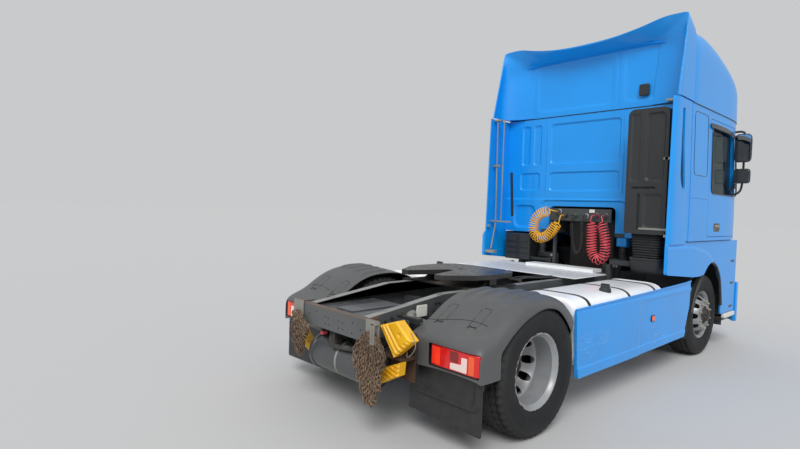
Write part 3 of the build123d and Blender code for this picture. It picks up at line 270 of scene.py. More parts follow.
def lathe(profile, first, second, steps=72, closed=False, axis="y"):
    """A (radius, place) profile turned about a line along the axis: first + r cos, second + r sin.

    First and second are (x, z) for y, (y, z) for x and (x, y) for z.
    """
    profile = np.asarray(profile, dtype=float)
    angle = np.linspace(0.0, 2 * np.pi, steps, endpoint=False)[:, None]
    radius, along = profile[None, :, 0], profile[None, :, 1]
    turned = np.broadcast_arrays(first + radius * np.cos(angle), second + radius * np.sin(angle), along)
    return surface(np.stack(turned, axis=-1)[..., axis_orders[axis]], wrap_rows=True, wrap_columns=closed)


def pipe(path, radius, sides=10):
    """A round bar along a path of points: rings at right angles to the way the path runs.

    Each ring lies in the plane of N and B, where T is the direction, N is T x a fixed side
    vector, and B is T x N; the side vector is the axis that the path follows least.
    """
    path = np.asarray(path, dtype=float)
    tangent = unit(np.gradient(path, axis=0))
    side = np.eye(3)[np.argmin(np.abs(tangent).mean(axis=0))]
    normal = unit(np.cross(tangent, side))
    other = np.cross(tangent, normal)
    angle = np.linspace(0.0, 2 * np.pi, sides, endpoint=False)[None, :, None]
    ring = np.cos(angle) * normal[:, None] + np.sin(angle) * other[:, None]
    radius = np.broadcast_to(np.asarray(radius, dtype=float), (len(path),))[:, None, None]
    return tubular(path[:, None] + radius * ring)


def eased(points, steps=8):
    """A smooth path through a few points: Catmull-Rom, worked out for every stretch at once."""
    points = np.asarray(points, dtype=float)
    padded = np.vstack([2 * points[0] - points[1], points, 2 * points[-1] - points[-2]])
    a, b, c, d = padded[:-3], padded[1:-2], padded[2:-1], padded[3:]
    t = np.linspace(0.0, 1.0, steps, endpoint=False)[None, :, None]
    curve = 0.5 * (2 * b[:, None] + (c - a)[:, None] * t + (2 * a - 5 * b + 4 * c - d)[:, None] * t ** 2
                   + (3 * b - a - 3 * c + d)[:, None] * t ** 3)
    return np.vstack([curve.reshape(-1, points.shape[1]), points[-1]])


def path_at(points, steps=8):
    """A smooth path through points whose X is given ahead of the rear axle."""
    return eased(np.array(points, dtype=float) + [rear_x, 0.0, 0.0], steps)


def outline_at(points, radius, steps):
    """A rounded (x, z) outline, its x given ahead of the rear axle."""
    return rounded([(ahead(x), z) for x, z in points], radius, steps)


# %% [markdown]
# A Form becomes a piece here. A piece rides on the chassis unless it names another body: doors,
# lid, cab and wheels move. Edges of sheet metal and plastic are never quite sharp, so most pieces get a
# small bevel, and faces that meet at a shallow angle are shaded smooth.

# %% From forms to pieces
smooth_angle, sharp_angle = math.radians(32), math.radians(40)


def mesh_of(name, form):
    """A Blender mesh filled from arrays in one go."""
    sizes = np.concatenate([np.full(len(group), group.shape[1]) for group in form.faces])
    corners = np.concatenate([group.reshape(-1) for group in form.faces])
    mesh = bpy.data.meshes.new(name)
    mesh.vertices.add(len(form.points))
    mesh.vertices.foreach_set("co", form.points.reshape(-1))
    mesh.loops.add(len(corners))
    mesh.loops.foreach_set("vertex_index", corners)
    mesh.polygons.add(len(sizes))
    mesh.polygons.foreach_set("loop_start", np.concatenate([[0], np.cumsum(sizes)[:-1]]))
    mesh.update(calc_edges=True)
    mesh.validate()
    return mesh


def outward(mesh, merge=1e-5):
    """Merges points that coincide and turns the faces of each closed shell outwards."""
    work = bmesh.new()
    work.from_mesh(mesh)
    bmesh.ops.remove_doubles(work, verts=work.verts, dist=merge)
    bmesh.ops.recalc_face_normals(work, faces=work.faces)
    work.to_mesh(mesh)
    work.free()


def shown(name, mesh):
    thing = bpy.data.objects.new(name, mesh)
    bpy.context.scene.collection.objects.link(thing)
    return thing


def applied(thing):
    """Replaces the object's mesh by what its modifiers make of it."""
    made = bpy.data.meshes.new_from_object(thing.evaluated_get(bpy.context.evaluated_depsgraph_get()))
    thing.modifiers.clear()
    thing.data = made
    return thing


def carve(thing, forms, operation="DIFFERENCE"):
    """Cuts the forms out of the object, or keeps only what lies in them."""
    for form in forms:
        mesh = mesh_of("cutter", form)
        outward(mesh)
        cutter = shown("cutter", mesh)
        cut = thing.modifiers.new("cut", "BOOLEAN")
        cut.object, cut.operation, cut.solver = cutter, operation, "EXACT"
        applied(thing)
        bpy.data.objects.remove(cutter)
    return thing


def piece(name, form, finish, stands_for=(), bevel=0.0, cuts=(), keep=None, closed=True, angle=smooth_angle,
          body="chassis"):
    """A finished object with its cuts, edges, body and nodes; a finish from the table goes by its name."""
    mesh = mesh_of(name, form) if isinstance(form, Form) else form
    if closed:
        outward(mesh)
    thing = shown(name, mesh)
    if keep is not None:
        carve(thing, [keep], "INTERSECT")
    carve(thing, cuts)
    if bevel:
        edge = thing.modifiers.new("edges", "BEVEL")
        edge.width, edge.segments, edge.limit_method, edge.angle_limit = bevel, 2, "ANGLE", sharp_angle
        edge.harden_normals = False
    thing.data.materials.clear()
    thing.data.materials.append((finishes[finish] if isinstance(finish, str) else finish).material)
    thing.data.shade_smooth()
    thing.data.set_sharp_from_angle(angle=angle)
    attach(thing, body)
    if stands_for:
        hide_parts(*stands_for)
    return thing


def softened(node, finish, bevel=0.003, body="chassis", cuts=()):
    """A copy of a CAD node with its points merged, its flat faces whole and its edges rounded."""
    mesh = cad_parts[node].data.copy()
    work = bmesh.new()
    work.from_mesh(mesh)
    bmesh.ops.remove_doubles(work, verts=work.verts, dist=2e-5)
    bmesh.ops.dissolve_limit(work, angle_limit=math.radians(1.0), verts=work.verts, edges=work.edges)
    work.to_mesh(mesh)
    work.free()
    return piece(f"soft_{node}", mesh, finish, [node], bevel=bevel, cuts=cuts, closed=False, body=body)


# %% [markdown]
# Three curly lines hang behind the cab: a yellow and a red air line and a thin black electric
# lead, each parked with both ends in the coupling panel. The route of each is the coil's middle
# line; the helix is wound round it, fourteen points to a turn, and becomes the points of
# the cord's own spline.

# %% Cords
line_x, socket_x = ahead(2.640), ahead(2.729)
line_radius, points_per_turn = 0.006, 14


def nurbs(name, points):
    """A curve with one smooth spline that has these points as its control points."""
    curve = bpy.data.curves.new(name, "CURVE")
    curve.dimensions = "3D"
    spline = curve.splines.new("NURBS")
    spline.points.add(len(points) - 1)
    spline.points.foreach_set("co", np.column_stack([points, np.ones(len(points))]).reshape(-1))
    spline.order_u = 3
    spline.use_endpoint_u = True
    return curve


def along_route(name, points):
    """Points close together on the route's smooth line, read from the curve's own mesh."""
    curve = nurbs(name, points)
    curve.splines[0].resolution_u = 24
    helper = shown(name, curve)
    mesh = bpy.data.meshes.new_from_object(helper)
    read = np.empty(len(mesh.vertices) * 3)
    mesh.vertices.foreach_get("co", read)
    bpy.data.objects.remove(helper)
    return read.reshape(-1, 3)


def winding(route, turns, radius):
    """A helix round the route: C(s) + r (cos a) N + r (sin a) B, where a runs 2 pi for each turn.

    The route lies in a plane across the vehicle, so N is its normal in that plane and B is +X.
    """
    place = np.linspace(0.0, run_length(route), turns * points_per_turn + 1)
    centre = points_along(route, place)
    ahead_way = np.array([1.0, 0.0, 0.0])
    normal = np.cross(ahead_way, unit(np.gradient(centre, axis=0)))
    angle = np.linspace(0.0, 2 * np.pi * turns, len(place))[:, None]
    return centre + radius * (np.cos(angle) * normal + np.sin(angle) * ahead_way)


def hang(places):
    return np.array([(line_x, y, z) for y, z in places])


# %% [markdown]
# Shader maths is easier to read as arithmetic. Value wraps one socket, and each operator adds the
# Math node that it stands for, so a wear mask can be written as height * noise - 0.2.

# %% Shader arithmetic
class Value:
    """A socket that takes part in arithmetic."""

    def __init__(self, finish, socket):
        self.finish = finish
        self.socket = socket

    def math(self, operation, *others):
        return self.finish.node("ShaderNodeMath", {"operation": operation}, [self, *others])

    def __add__(self, other):
        return self.math("ADD", other)

    def __sub__(self, other):
        return self.math("SUBTRACT", other)

    def __rsub__(self, other):
        return (self * -1.0).math("ADD", other)

    def __mul__(self, other):
        return self.math("MULTIPLY", other)

    def __truediv__(self, other):
        return self.math("DIVIDE", other)

    def __pow__(self, other):
        return self.math("POWER", other)

    __radd__ = __add__
    __rmul__ = __mul__

    def ramp(self, low, high):
        """0 below low, 1 above high and a soft step between; low may be the larger number."""
        settings = {"interpolation_type": "SMOOTHSTEP"}
        return self.finish.node("ShaderNodeMapRange", settings, [self, low, high, 0.0, 1.0])

    def between(self, low, high, soft=0.004):
        """1 between low and high, 0 outside, with a soft step at each."""
        return self.ramp(low, low + soft) * self.ramp(high, high - soft)

    def wave(self, rate):
        return (self * rate).math("SINE")


def linear(red, green, blue):
    """The linear colour of a screen colour given in 0 to 255."""
    share = np.array([red, green, blue]) / 255.0
    value = np.where(share <= 0.04045, share / 12.92, ((share + 0.055) / 1.055) ** 2.4)
    return (*value.tolist(), 1.0)


class Finish:
    """One material: its surface shader and the patterns that feed it."""

    def __init__(self, name, fixed=None):
        self.material = bpy.data.materials.new(name)
        self.material.use_nodes = True
        self.tree = self.material.node_tree
        self.shader = self.tree.nodes["Principled BSDF"]
        for socket, value in (fixed or {}).items():
            self.shader.inputs[socket].default_value = value
        self.place = self.node("ShaderNodeTexCoord", out="Object")
        self.east, self.north, self.height = self.split(self.place)
        self.facing = self.split(self.node("ShaderNodeTexCoord", out="Normal"))

    def node(self, kind, settings=None, values=(), out=0):
        """A new node: first its settings, then its sockets, by place in a list or by name."""
        made = self.tree.nodes.new(kind)
        for setting, value in (settings or {}).items():
            setattr(made, setting, value)
        for key, value in (values.items() if isinstance(values, dict) else enumerate(values)):
            if isinstance(value, Value):
                self.tree.links.new(value.socket, made.inputs[key])
            else:
                made.inputs[key].default_value = value
        return Value(self, made.outputs[out])

    def split(self, vector):
        parts = self.node("ShaderNodeSeparateXYZ", values=[vector]).socket.node
        return [Value(self, parts.outputs[axis]) for axis in range(3)]

    def noise(self, scale, detail=3.0, stretch=None):
        """Noise on the object's own coordinates, stretched where a pattern runs one way."""
        place = self.place
        if stretch:
            place = self.node("ShaderNodeMapping", values={"Vector": place, "Scale": stretch})
        return self.node("ShaderNodeTexNoise", values={"Vector": place, "Scale": scale, "Detail": detail})

    def mix(self, mask, first, second):
        values = {0: mask, 6: first, 7: second}
        return self.node("ShaderNodeMix", {"data_type": "RGBA", "clamp_factor": True}, values, out=2)

    def bump(self, height, distance, strength=1.0, under=None):
        values = {"Height": height, "Distance": distance, "Strength": strength}
        if under:
            values["Normal"] = under
        return self.node("ShaderNodeBump", values=values)

    def feed(self, **links):
        """Links values to the shader's sockets, which are named in small letters."""
        for name, value in links.items():
            socket = self.shader.inputs[name.replace("_", " ").title()]
            self.tree.links.new(value.socket, socket)
        return self


# %% [markdown]
# The truck has worked for years, so nothing on it is one flat colour. Each finish below starts
# from the same recipe: a tone that drifts over large patches, a fine grain for the surface, and
# road dust that settles on whatever faces up and on whatever is near the road.

# %% The recipe for a used surface
dust_tan = linear(128, 118, 104)


def toned(colour, share):
    return tuple(min(1.0, part * share) for part in colour[:3]) + (1.0,)


def used(name, colour, rough, metal=0.0, coat=0.0, grain=600.0, depth=0.0002, vary=0.12, dust=0.3, low_dust=0.3):
    """The standard finish, with its dust mask, its tone and its dusty tone for finishes built on it."""
    made = Finish(name, {"Metallic": metal, "Coat Weight": coat, "Coat Roughness": 0.06})
    patches = made.noise(1.7, 5.0)
    tone = made.mix(patches.ramp(0.3, 0.7), toned(colour, 1 - vary), toned(colour, 1 + vary))
    spots = made.noise(14.0, 6.0)
    settled = made.facing[2].ramp(0.25, 1.0) * spots.ramp(0.35, 0.75) * dust
    thrown = made.height.ramp(1.15, 0.25) * spots.ramp(0.38, 0.72) * low_dust
    mask = settled + thrown
    made.tone, made.mask, made.dusty = tone, mask, made.mix(mask, tone, dust_tan)
    made.feed(base_color=made.dusty, roughness=patches * 0.16 + mask * 0.3 + (rough - 0.08))
    if depth:
        made.feed(normal=made.bump(made.noise(grain, 2.0), depth))
    return made


# name: screen colour, roughness, metal, coat, grain, depth of the grain, drift, dust, low dust
used_finishes = {
    "chassis": ((62, 65, 67), 0.5, 0.0, 0.15, 300.0, 0.0002, 0.15, 0.45, 0.5),
    "dark_steel": ((40, 42, 44), 0.5, 0.3, 0.0, 300.0, 0.0002, 0.2, 0.5, 0.5),
    "cast": ((52, 50, 48), 0.7, 0.4, 0.0, 160.0, 0.0006, 0.25, 0.5, 0.5),
    "plastic": ((43, 45, 47), 0.52, 0.0, 0.0, 900.0, 0.0005, 0.12, 0.3, 0.25),
    "guard_plastic": ((84, 86, 87), 0.46, 0.0, 0.0, 1100.0, 0.0003, 0.08, 0.1, 0.05),
    "rubber": ((33, 34, 35), 0.58, 0.0, 0.0, 500.0, 0.0003, 0.1, 0.12, 0.08),
    "bright_metal": ((214, 217, 219), 0.34, 0.85, 0.0, 250.0, 0.0001, 0.06, 0.25, 0.1),
    "tank_metal": ((248, 249, 250), 0.36, 0.0, 0.4, 220.0, 0.0001, 0.03, 0.05, 0.05),
    "pale_metal": ((150, 148, 140), 0.55, 0.35, 0.0, 220.0, 0.0003, 0.15, 0.3, 0.3),
    "polished": ((205, 208, 212), 0.16, 1.0, 0.0, 150.0, 0.0, 0.05, 0.12, 0.15),
    "yellow_plastic": ((250, 188, 20), 0.42, 0.0, 0.1, 700.0, 0.0002, 0.1, 0.2, 0.15),
    "yellow_hose": ((252, 184, 26), 0.4, 0.0, 0.2, 500.0, 0.0, 0.1, 0.08, 0.0),
    "red_hose": ((222, 84, 94), 0.4, 0.0, 0.2, 500.0, 0.0, 0.12, 0.1, 0.0),
    "black_hose": ((28, 29, 30), 0.45, 0.0, 0.1, 500.0, 0.0, 0.1, 0.35, 0.0),
    "trim_black": ((22, 23, 24), 0.35, 0.0, 0.2, 700.0, 0.0001, 0.1, 0.12, 0.1),
    "white_plastic": ((222, 221, 214), 0.45, 0.0, 0.1, 500.0, 0.0, 0.06, 0.15, 0.0),
    "green_plastic": ((30, 120, 70), 0.45, 0.0, 0.1, 500.0, 0.0, 0.06, 0.15, 0.0),
    "inside_grey": ((72, 73, 75), 0.75, 0.0, 0.0, 700.0, 0.0005, 0.08, 0.0, 0.0),
    "flap_rubber": ((38, 39, 41), 0.5, 0.0, 0.05, 500.0, 0.0002, 0.08, 0.05, 0.05),
    "orange_lens": ((244, 92, 26), 0.2, 0.0, 0.8, 400.0, 0.0, 0.06, 0.04, 0.04),
    "white_lens": ((238, 214, 208), 0.2, 0.0, 0.8, 400.0, 0.0, 0.03, 0.04, 0.04),
    "rust_iron": ((78, 56, 42), 0.75, 0.2, 0.0, 120.0, 0.0006, 0.25, 0.2, 0.1),
    "cover_paint": ((62, 66, 71), 0.42, 0.0, 0.2, 400.0, 0.0001, 0.08, 0.22, 0.1),
    "air_tank_paint": ((66, 69, 71), 0.42, 0.0, 0.25, 300.0, 0.0001, 0.06, 0.12, 0.08),
    "blue_plug": ((40, 110, 190), 0.4, 0.0, 0.1, 500.0, 0.0, 0.06, 0.1, 0.1),
    "old_grease": ((66, 62, 44), 0.35, 0.0, 0.3, 60.0, 0.002, 0.3, 0.0, 0.0),
    "mirror_glass": ((222, 226, 230), 0.03, 1.0, 0.0, 400.0, 0.0, 0.02, 0.02, 0.0),
}
finishes = {name: used(name, linear(*row[0]), *row[1:]) for name, row in used_finishes.items()}
print(len(finishes), "finishes from the recipe")

# %% [markdown]
# Now the three lines themselves. Each is a plain lead from its socket, the helix, and a plain
# lead back to a socket, all points of one spline. The helix starts and ends narrower, as a wound
# hose does where its straight tail leaves the coil.

# %% Curly lines
yellow_route = hang([
    (0.360, 1.750), (0.470, 1.730), (0.560, 1.650), (0.600, 1.530), (0.570, 1.420), (0.480, 1.375),
    (0.370, 1.420), (0.290, 1.510), (0.235, 1.600),
])
red_route = hang([
    (-0.240, 1.630), (-0.245, 1.500), (-0.245, 1.380), (-0.250, 1.270), (-0.290, 1.190), (-0.345, 1.165),
    (-0.395, 1.190), (-0.425, 1.270), (-0.425, 1.380), (-0.405, 1.500), (-0.362, 1.630),
])
black_route = hang([
    (0.030, 1.600), (0.020, 1.480), (0.005, 1.360), (-0.015, 1.260), (-0.055, 1.215), (-0.098, 1.260),
    (-0.115, 1.380), (-0.112, 1.500), (-0.100, 1.620),
])
# name: route, first socket (y, z), last socket (y, z), coil radius, turns, finish, replaced node
lines = {
    "yellow_line": (yellow_route, (0.290, 1.750), (0.200, 1.700), 0.064, 29, "yellow_hose", "yellow_air_line"),
    "red_line": (red_route, (-0.230, 1.710), (-0.350, 1.710), 0.058, 30, "red_hose", "red_air_line"),
    "black_line": (black_route, (0.060, 1.700), (-0.090, 1.700), 0.022, 40, "black_hose", "black_lead"),
}


narrow_end = 0.35          # the coil's radius where it starts, as a share of its full radius


def lead(socket, coil_end):
    """A plain tail: straight out of the socket, then over to the end of the coil."""
    y, z = socket
    out = [(socket_x, y, z), (socket_x - 0.035, y, z), (line_x + 0.012, y, z)]
    return np.vstack([out, coil_end * 0.6 + np.array([line_x, y, z]) * 0.4])


for name, (route, first, last, radius, turns, colour, node) in lines.items():
    centre = along_route(f"{name}_route", route)
    share = np.linspace(0.0, 1.0, turns * points_per_turn + 1)[:, None]
    taper = narrow_end + (1 - narrow_end) * np.clip(np.minimum(share, 1 - share) * turns, 0.0, 1.0)
    coil = winding(centre, turns, radius * taper)
    points = np.vstack([lead(first, coil[0]), coil, lead(last, coil[-1])[::-1]])
    curve = nurbs(name, points)
    curve.bevel_depth = line_radius
    curve.bevel_resolution = 2
    curve.splines[0].resolution_u = 2
    curve.use_fill_caps = True
    curve.materials.append(finishes[colour].material)
    cord = shown(name, curve)
    length = run_length(along_route(f"{name}_line", points))
    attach(cord, "chassis")
    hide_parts(node)
    print(name, "is", round(length, 2), "m long")

# %% [markdown]
# The truck's colour is a solid azure under clear lacquer. It keeps the common recipe with little
# dust, and the lacquer is the coat: it puts a sharp reflection over the soft one below. The skirts
# have been rubbed by kerbs, so their paint also carries pale scratches that run lengthwise.

# %% Paint
azure = linear(0, 152, 240)
paint = used("azure_paint", azure, 0.42, 0.0, 0.4, 120.0, 0.00004, 0.035, 0.1, 0.1)
skirt_paint = used("skirt_paint", azure, 0.4, 0.0, 0.45, 120.0, 0.00004, 0.04, 0.1, 0.14)
streak = skirt_paint.noise(9.0, 6.0, (0.35, 1.0, 5.0))
hairline = (1 - (streak - 0.56).math("ABSOLUTE") * 90.0).ramp(0.0, 0.9)
where_rubbed = skirt_paint.noise(2.3, 2.0).ramp(0.5, 0.62) * skirt_paint.height.ramp(0.86, 0.5)
scratches = hairline * where_rubbed * 0.75
skirt_paint.feed(base_color=skirt_paint.mix(scratches, skirt_paint.dusty, linear(196, 214, 226)))

# %% [markdown]
# The cab's outside is one form: straight sides that turn into the nose along a superellipse,
# which stays flat and then bends quickly as real cabs do. It is made once as a wall and then cut,
# with exact booleans, into the panels that part from each other on the real cab: side walls,
# doors and front. A door that is cut from the same wall is sure to close flush.

# %% The cab's outline
nose_length, nose_power = 1.26, 5.0
belt_half_width, joint_half_width = 1.245, 1.225
cab_rear_x, cab_low_z, joint_z = ahead(2.94), 0.95, 3.030
shell_wall = 0.055


def cab_half_width(z):
    """Straight up to the windows, then leaning in a little up to the roof joint."""
    return np.interp(z, [cab_low_z, 2.0, joint_z], [belt_half_width, belt_half_width, joint_half_width])


def cab_front_x(z):
    return ahead(np.interp(z, [cab_low_z, 1.8, 2.0, 3.05], [5.16, 5.16, 5.145, 5.11]))


def nose_plan(half_width, front, quarter):
    """x = s + L sin^(2/n) a, y = w cos^(2/n) a for a from 0 to 90 degrees, s = front - L."""
    share = 2 / nose_power
    return front - nose_length + nose_length * np.sin(quarter) ** share, half_width * np.cos(quarter) ** share


def cab_sheet(inset):
    """The U-shaped outside in rows of z, from the right rear round the nose to the left rear."""
    z = np.linspace(cab_low_z, joint_z, 40)[:, None]
    width, front = cab_half_width(z) - inset, cab_front_x(z) - inset
    quarter = np.linspace(0.0, 1.0, 34)[None, 1:] ** 1.4 * (np.pi / 2)
    nose_x, nose_y = nose_plan(width, front, quarter)
    straight_x = cab_rear_x + (front - nose_length - cab_rear_x) * np.linspace(0.0, 1.0, 16)[None, :]
    right_x = np.hstack([straight_x, nose_x])
    right_y = -np.hstack([np.broadcast_to(width, straight_x.shape), nose_y])
    x = np.hstack([right_x, right_x[:, -2::-1]])
    y = np.hstack([right_y, -right_y[:, -2::-1]])
    return np.stack([x, y, np.broadcast_to(z, x.shape)], axis=-1)


cab_wall = walled(cab_sheet(0.0), cab_sheet(shell_wall))
far = 6.0
pillar_x = ahead(4.74)


def door_prism(gap):
    """The left door's side outline with rounded corners, carried through the side."""
    outline = [(ahead(3.56) - gap, 1.5 - gap), (ahead(4.73) + gap, 1.5 - gap), (ahead(4.73) + gap, 2.1),
               (ahead(4.64) + gap, 2.93 + gap), (ahead(3.56) - gap, 2.93 + gap)]
    return slab(rounded(outline, 0.07, 5), 0.9, 1.6)


window_edge = outline_at([(3.64, 2.03), (4.65, 2.03), (4.65, 2.15), (4.56, 2.84), (3.64, 2.84)], 0.085, 6)
window_prism = slab(window_edge, 0.9, 1.6)
screen_edge = rounded([(-1.01, 1.98), (1.01, 1.98), (0.97, 2.96), (-0.97, 2.96)], 0.09, 6)
screen_prism = slab(screen_edge, ahead(4.7), far, axis="x")
panel_gap = 0.006
lid_zone = block((ahead(5.0), far), (-0.786, 0.786), (0.0, 1.886), 0.05, axis="x")
side_zone = block((cab_rear_x - 0.01, pillar_x - 0.002), (0.9, far), (1.45, 3.1)).both()
front_zone = slab([(pillar_x + 0.002, 1.45), (ahead(4.93), 1.45), (ahead(4.93), 0.9), (far, 0.9), (far, 3.1),
                   (pillar_x + 0.002, 3.1)], -far, far)

piece("side_walls", cab_wall, paint, ["cab_sides"], bevel=0.0025, keep=side_zone,
      cuts=[door_prism(panel_gap).both()], body="cab")
front_cuts = [door_prism(panel_gap).both(), screen_prism, lid_zone]
piece("front_panel", cab_wall, paint, ["cab_front"], bevel=0.0025, keep=front_zone, cuts=front_cuts, body="cab")
for side in ("left", "right"):
    piece(f"door_skin_{side}", cab_wall, paint, [f"door_{side}"], bevel=0.003,
          keep=door_prism(0.0).sided(side), cuts=[window_prism.sided(side)], body=f"door_{side}")
print("cab panels cut")

# %% [markdown]
# The high roof is a row of sections across the cab. Each section is a superellipse of power
# eight, nearly a rounded box, and its half width and height change along the cab: they grow from
# the rounded rear edge, then fall away over the windscreen. The rear face is a pressed sheet.

# %% The high roof
roof_power, roof_tip = 8.0, 5.112
roof_nose_x = ahead(roof_tip) - nose_length
roof_line = np.array([(2.885, 3.80), (2.93, 3.875), (3.02, 3.935), (3.2, 3.965), (3.5, 3.965), (3.97, 3.875),
                      (4.47, 3.70), (4.9, 3.49), (5.04, 3.36), (5.09, 3.22), (5.112, 3.05)])
roof_base_z = joint_z + 0.004


def signed_power(value, power):
    """|v|^(2/n) with the sign of v."""
    return np.sign(value) * np.abs(value) ** (2 / power)


def roof_size(x, inset):
    """Half width and top height of the roof at each x."""
    local = np.clip((x - roof_nose_x) / nose_length, 0.0, 1.0)
    width = 1.228 * (1 - local ** nose_power) ** (1 / nose_power)
    rear = np.clip((ahead(3.08) - x) / 0.2, 0.0, 1.0)
    line = eased(roof_line, 6)
    width = np.maximum(width - 0.055 * rear ** 2 - inset, 0.001)
    return width, np.interp(x, ahead(line[:, 0]), line[:, 1]) - inset


def roof_sheet(inset):
    """y = W cos^(2/n) a, z = z0 + (H - z0) sin^(2/n) a, for a from 0 to 180 degrees."""
    back = ahead(2.885) + 0.165 * np.linspace(0.0, 1.0, 9) ** 1.5
    straight = np.linspace(ahead(3.05), roof_nose_x, 10)[1:]
    quarter = np.linspace(0.0, 1.0, 26)[1:] ** 1.3 * np.pi / 2
    nose = roof_nose_x + nose_length * np.sin(quarter) ** 0.4
    x = np.concatenate([back, straight, nose])
    width, top = roof_size(x, inset)
    share = np.linspace(-1.0, 1.0, 81)
    angle = (np.pi / 2) * (1 + np.sign(share) * np.abs(share) ** 0.8)
    y = width[:, None] * signed_power(np.cos(angle), roof_power)
    z = roof_base_z + (top[:, None] - roof_base_z) * np.clip(np.sin(angle), 0.0, 1.0) ** (2 / roof_power)
    return np.stack([np.broadcast_to(x[:, None] - inset, y.shape), y, z], axis=-1)


def side_crease(sheet):
    """A soft step in the roof's side: below the crease line the panel stands 6 mm proud."""
    line = np.interp(sheet[..., 0], ahead(np.array([2.98, 3.64, 4.16, 5.11])), [3.255, 3.233, 3.168, 3.10])
    step = np.clip((line - sheet[..., 2]) / 0.03, 0.0, 1.0)
    proud = 1 + 0.005 * (3 * step ** 2 - 2 * step ** 3)
    return sheet * np.stack([np.ones_like(proud), proud, np.ones_like(proud)], axis=-1)


roof_outer, roof_inner = side_crease(roof_sheet(0.0)), roof_sheet(0.05)
roof_inner[0, :, 0] = roof_outer[0, :, 0]
piece("high_roof", walled(roof_outer, roof_inner), paint, ["cab_roof"], body="cab")

# %% [markdown]
# Pressed sheet is drawn as a height field: a flat grid whose depth is a sum of rounded
# rectangles, each sunk by a smooth step near its edge. Grid lines are set close together where
# an edge passes and far apart between, so a few thousand cells give crisp pressings.

# %% Pressed sheet
def crowded(low, high, step, edges, near=(0.0, 0.006, 0.013, 0.022, 0.04)):
    """Grid lines a step apart, with extra lines on both sides of each edge."""
    extra = [edge + sign * offset for edge in edges for offset in near for sign in (-1, 1)]
    lines = np.concatenate([np.arange(low, high, step), [high], extra])
    lines = np.sort(lines[(lines >= low) & (lines <= high)])
    return lines[np.concatenate([[True], np.diff(lines) > 0.0025])]


def inside_distance(y, z, low_y, high_y, low_z, high_z, radius):
    """How deep a point lies inside a rounded rectangle; negative outside it."""
    across_y = np.abs(y - (low_y + high_y) / 2) - (high_y - low_y) / 2 + radius
    across_z = np.abs(z - (low_z + high_z) / 2) - (high_z - low_z) / 2 + radius
    outside = np.hypot(np.maximum(across_y, 0), np.maximum(across_z, 0))
    return radius - outside - np.minimum(np.maximum(across_y, across_z), 0)


def step_in(distance, edge):
    """0 outside, 1 deeper than the edge's width, smooth between: 3t^2 - 2t^3."""
    share = np.clip(distance / edge, 0.0, 1.0)
    return share ** 2 * (3 - 2 * share)


def pressed(y, z, pressings):
    """The sum of all pressings: (low y, high y, low z, high z, corner, edge, depth)."""
    return sum(depth * step_in(inside_distance(y, z, *box, corner), edge)
               for *box, corner, edge, depth in pressings)


def pressed_sheet(x, pressings, y_range, z_range, step=0.06, wall=0.06):
    """A closed sheet across the vehicle, sunk forward by its pressings."""
    y = crowded(*y_range, step, [edge for row in pressings for edge in row[:2]])
    z = crowded(*z_range, step, [edge for row in pressings for edge in row[2:4]])
    y, z = np.meshgrid(y, z)
    sheet = np.stack([x + pressed(y, z, pressings), y, z], axis=-1)
    return walled(sheet, np.stack([np.full_like(y, x + wall), y, z], axis=-1))


# %% [markdown]
# The sleeper's rear wall has two wide pressed panels and a group of small ones at the left, a
# ledge under the windows' height, a round-topped recess at the left below it, and the tall
# opening over the gearbox. The roof's rear face above it has long upright beads.

# %% The rear wall
wall_x = ahead(2.88)
# low y, high y, low z, high z, corner radius, edge width, depth (minus stands proud)
wall_pressings = [
    (-0.447, 0.536, 2.390, 2.940, 0.055, 0.022, 0.017),
    (-0.447, 0.536, 2.020, 2.284, 0.055, 0.022, 0.017),
    (0.680, 1.000, 2.030, 2.280, 0.045, 0.020, 0.014),
    (0.672, 0.800, 2.380, 2.940, 0.045, 0.018, 0.014),
    (0.852, 0.985, 2.380, 2.940, 0.045, 0.018, 0.014),
    (0.720, 1.090, 1.500, 1.830, 0.100, 0.030, 0.022),
    (-1.300, 1.300, 1.300, 1.930, 0.010, 0.030, -0.012),
    (-0.560, 0.640, 1.350, 1.905, 0.080, 0.025, 0.016),
    (0.560, 0.585, 1.990, 2.960, 0.012, 0.010, -0.006),
    (-0.500, -0.475, 1.990, 2.960, 0.012, 0.010, -0.006),
]
wall_outline = rounded([(-1.24, 1.45), (-1.24, 2.0), (-1.222, joint_z), (1.222, joint_z), (1.24, 2.0),
                        (1.24, 1.45)], 0.01, 2)
tunnel = box_at((2.7, 3.1), (-0.42, 0.50), (0.9, 1.82), 0.07, axis="x", steps=6)
piece("rear_wall", pressed_sheet(wall_x, wall_pressings, (-1.24, 1.24), (1.45, joint_z)), paint,
      ["cab_back_wall"], keep=slab(wall_outline, ahead(2.8), ahead(3.0), axis="x"), cuts=[tunnel], body="cab")

roof_pressings = [
    (0.835, 0.855, 3.07, 3.72, 0.010, 0.009, -0.007),
    (0.885, 0.905, 3.07, 3.72, 0.010, 0.009, -0.007),
    (-0.395, -0.375, 3.05, 3.84, 0.009, 0.009, 0.007),
    (-0.340, 0.780, 3.10, 3.78, 0.120, 0.050, 0.012),
    (-1.120, -0.440, 3.10, 3.74, 0.100, 0.045, 0.010),
]
size = roof_size(np.array([ahead(2.885)]), 0.0)
angle = np.linspace(0.0, np.pi, 61)
roof_rise = (size[1] - roof_base_z) * np.clip(np.sin(angle), 0, 1) ** (2 / roof_power)
section = np.column_stack([size[0] * signed_power(np.cos(angle), roof_power), roof_base_z + roof_rise])
piece("roof_rear_face", pressed_sheet(wall_x, roof_pressings, (-1.25, 1.25), (roof_base_z, 3.97)), paint,
      keep=slab(section, ahead(2.8), ahead(3.0), axis="x"), body="cab")
joint_line = cab_sheet(-0.0035)[-1] * np.array([1.0, 1.0, 0.0]) + np.array([0.0, 0.0, joint_z + 0.002])
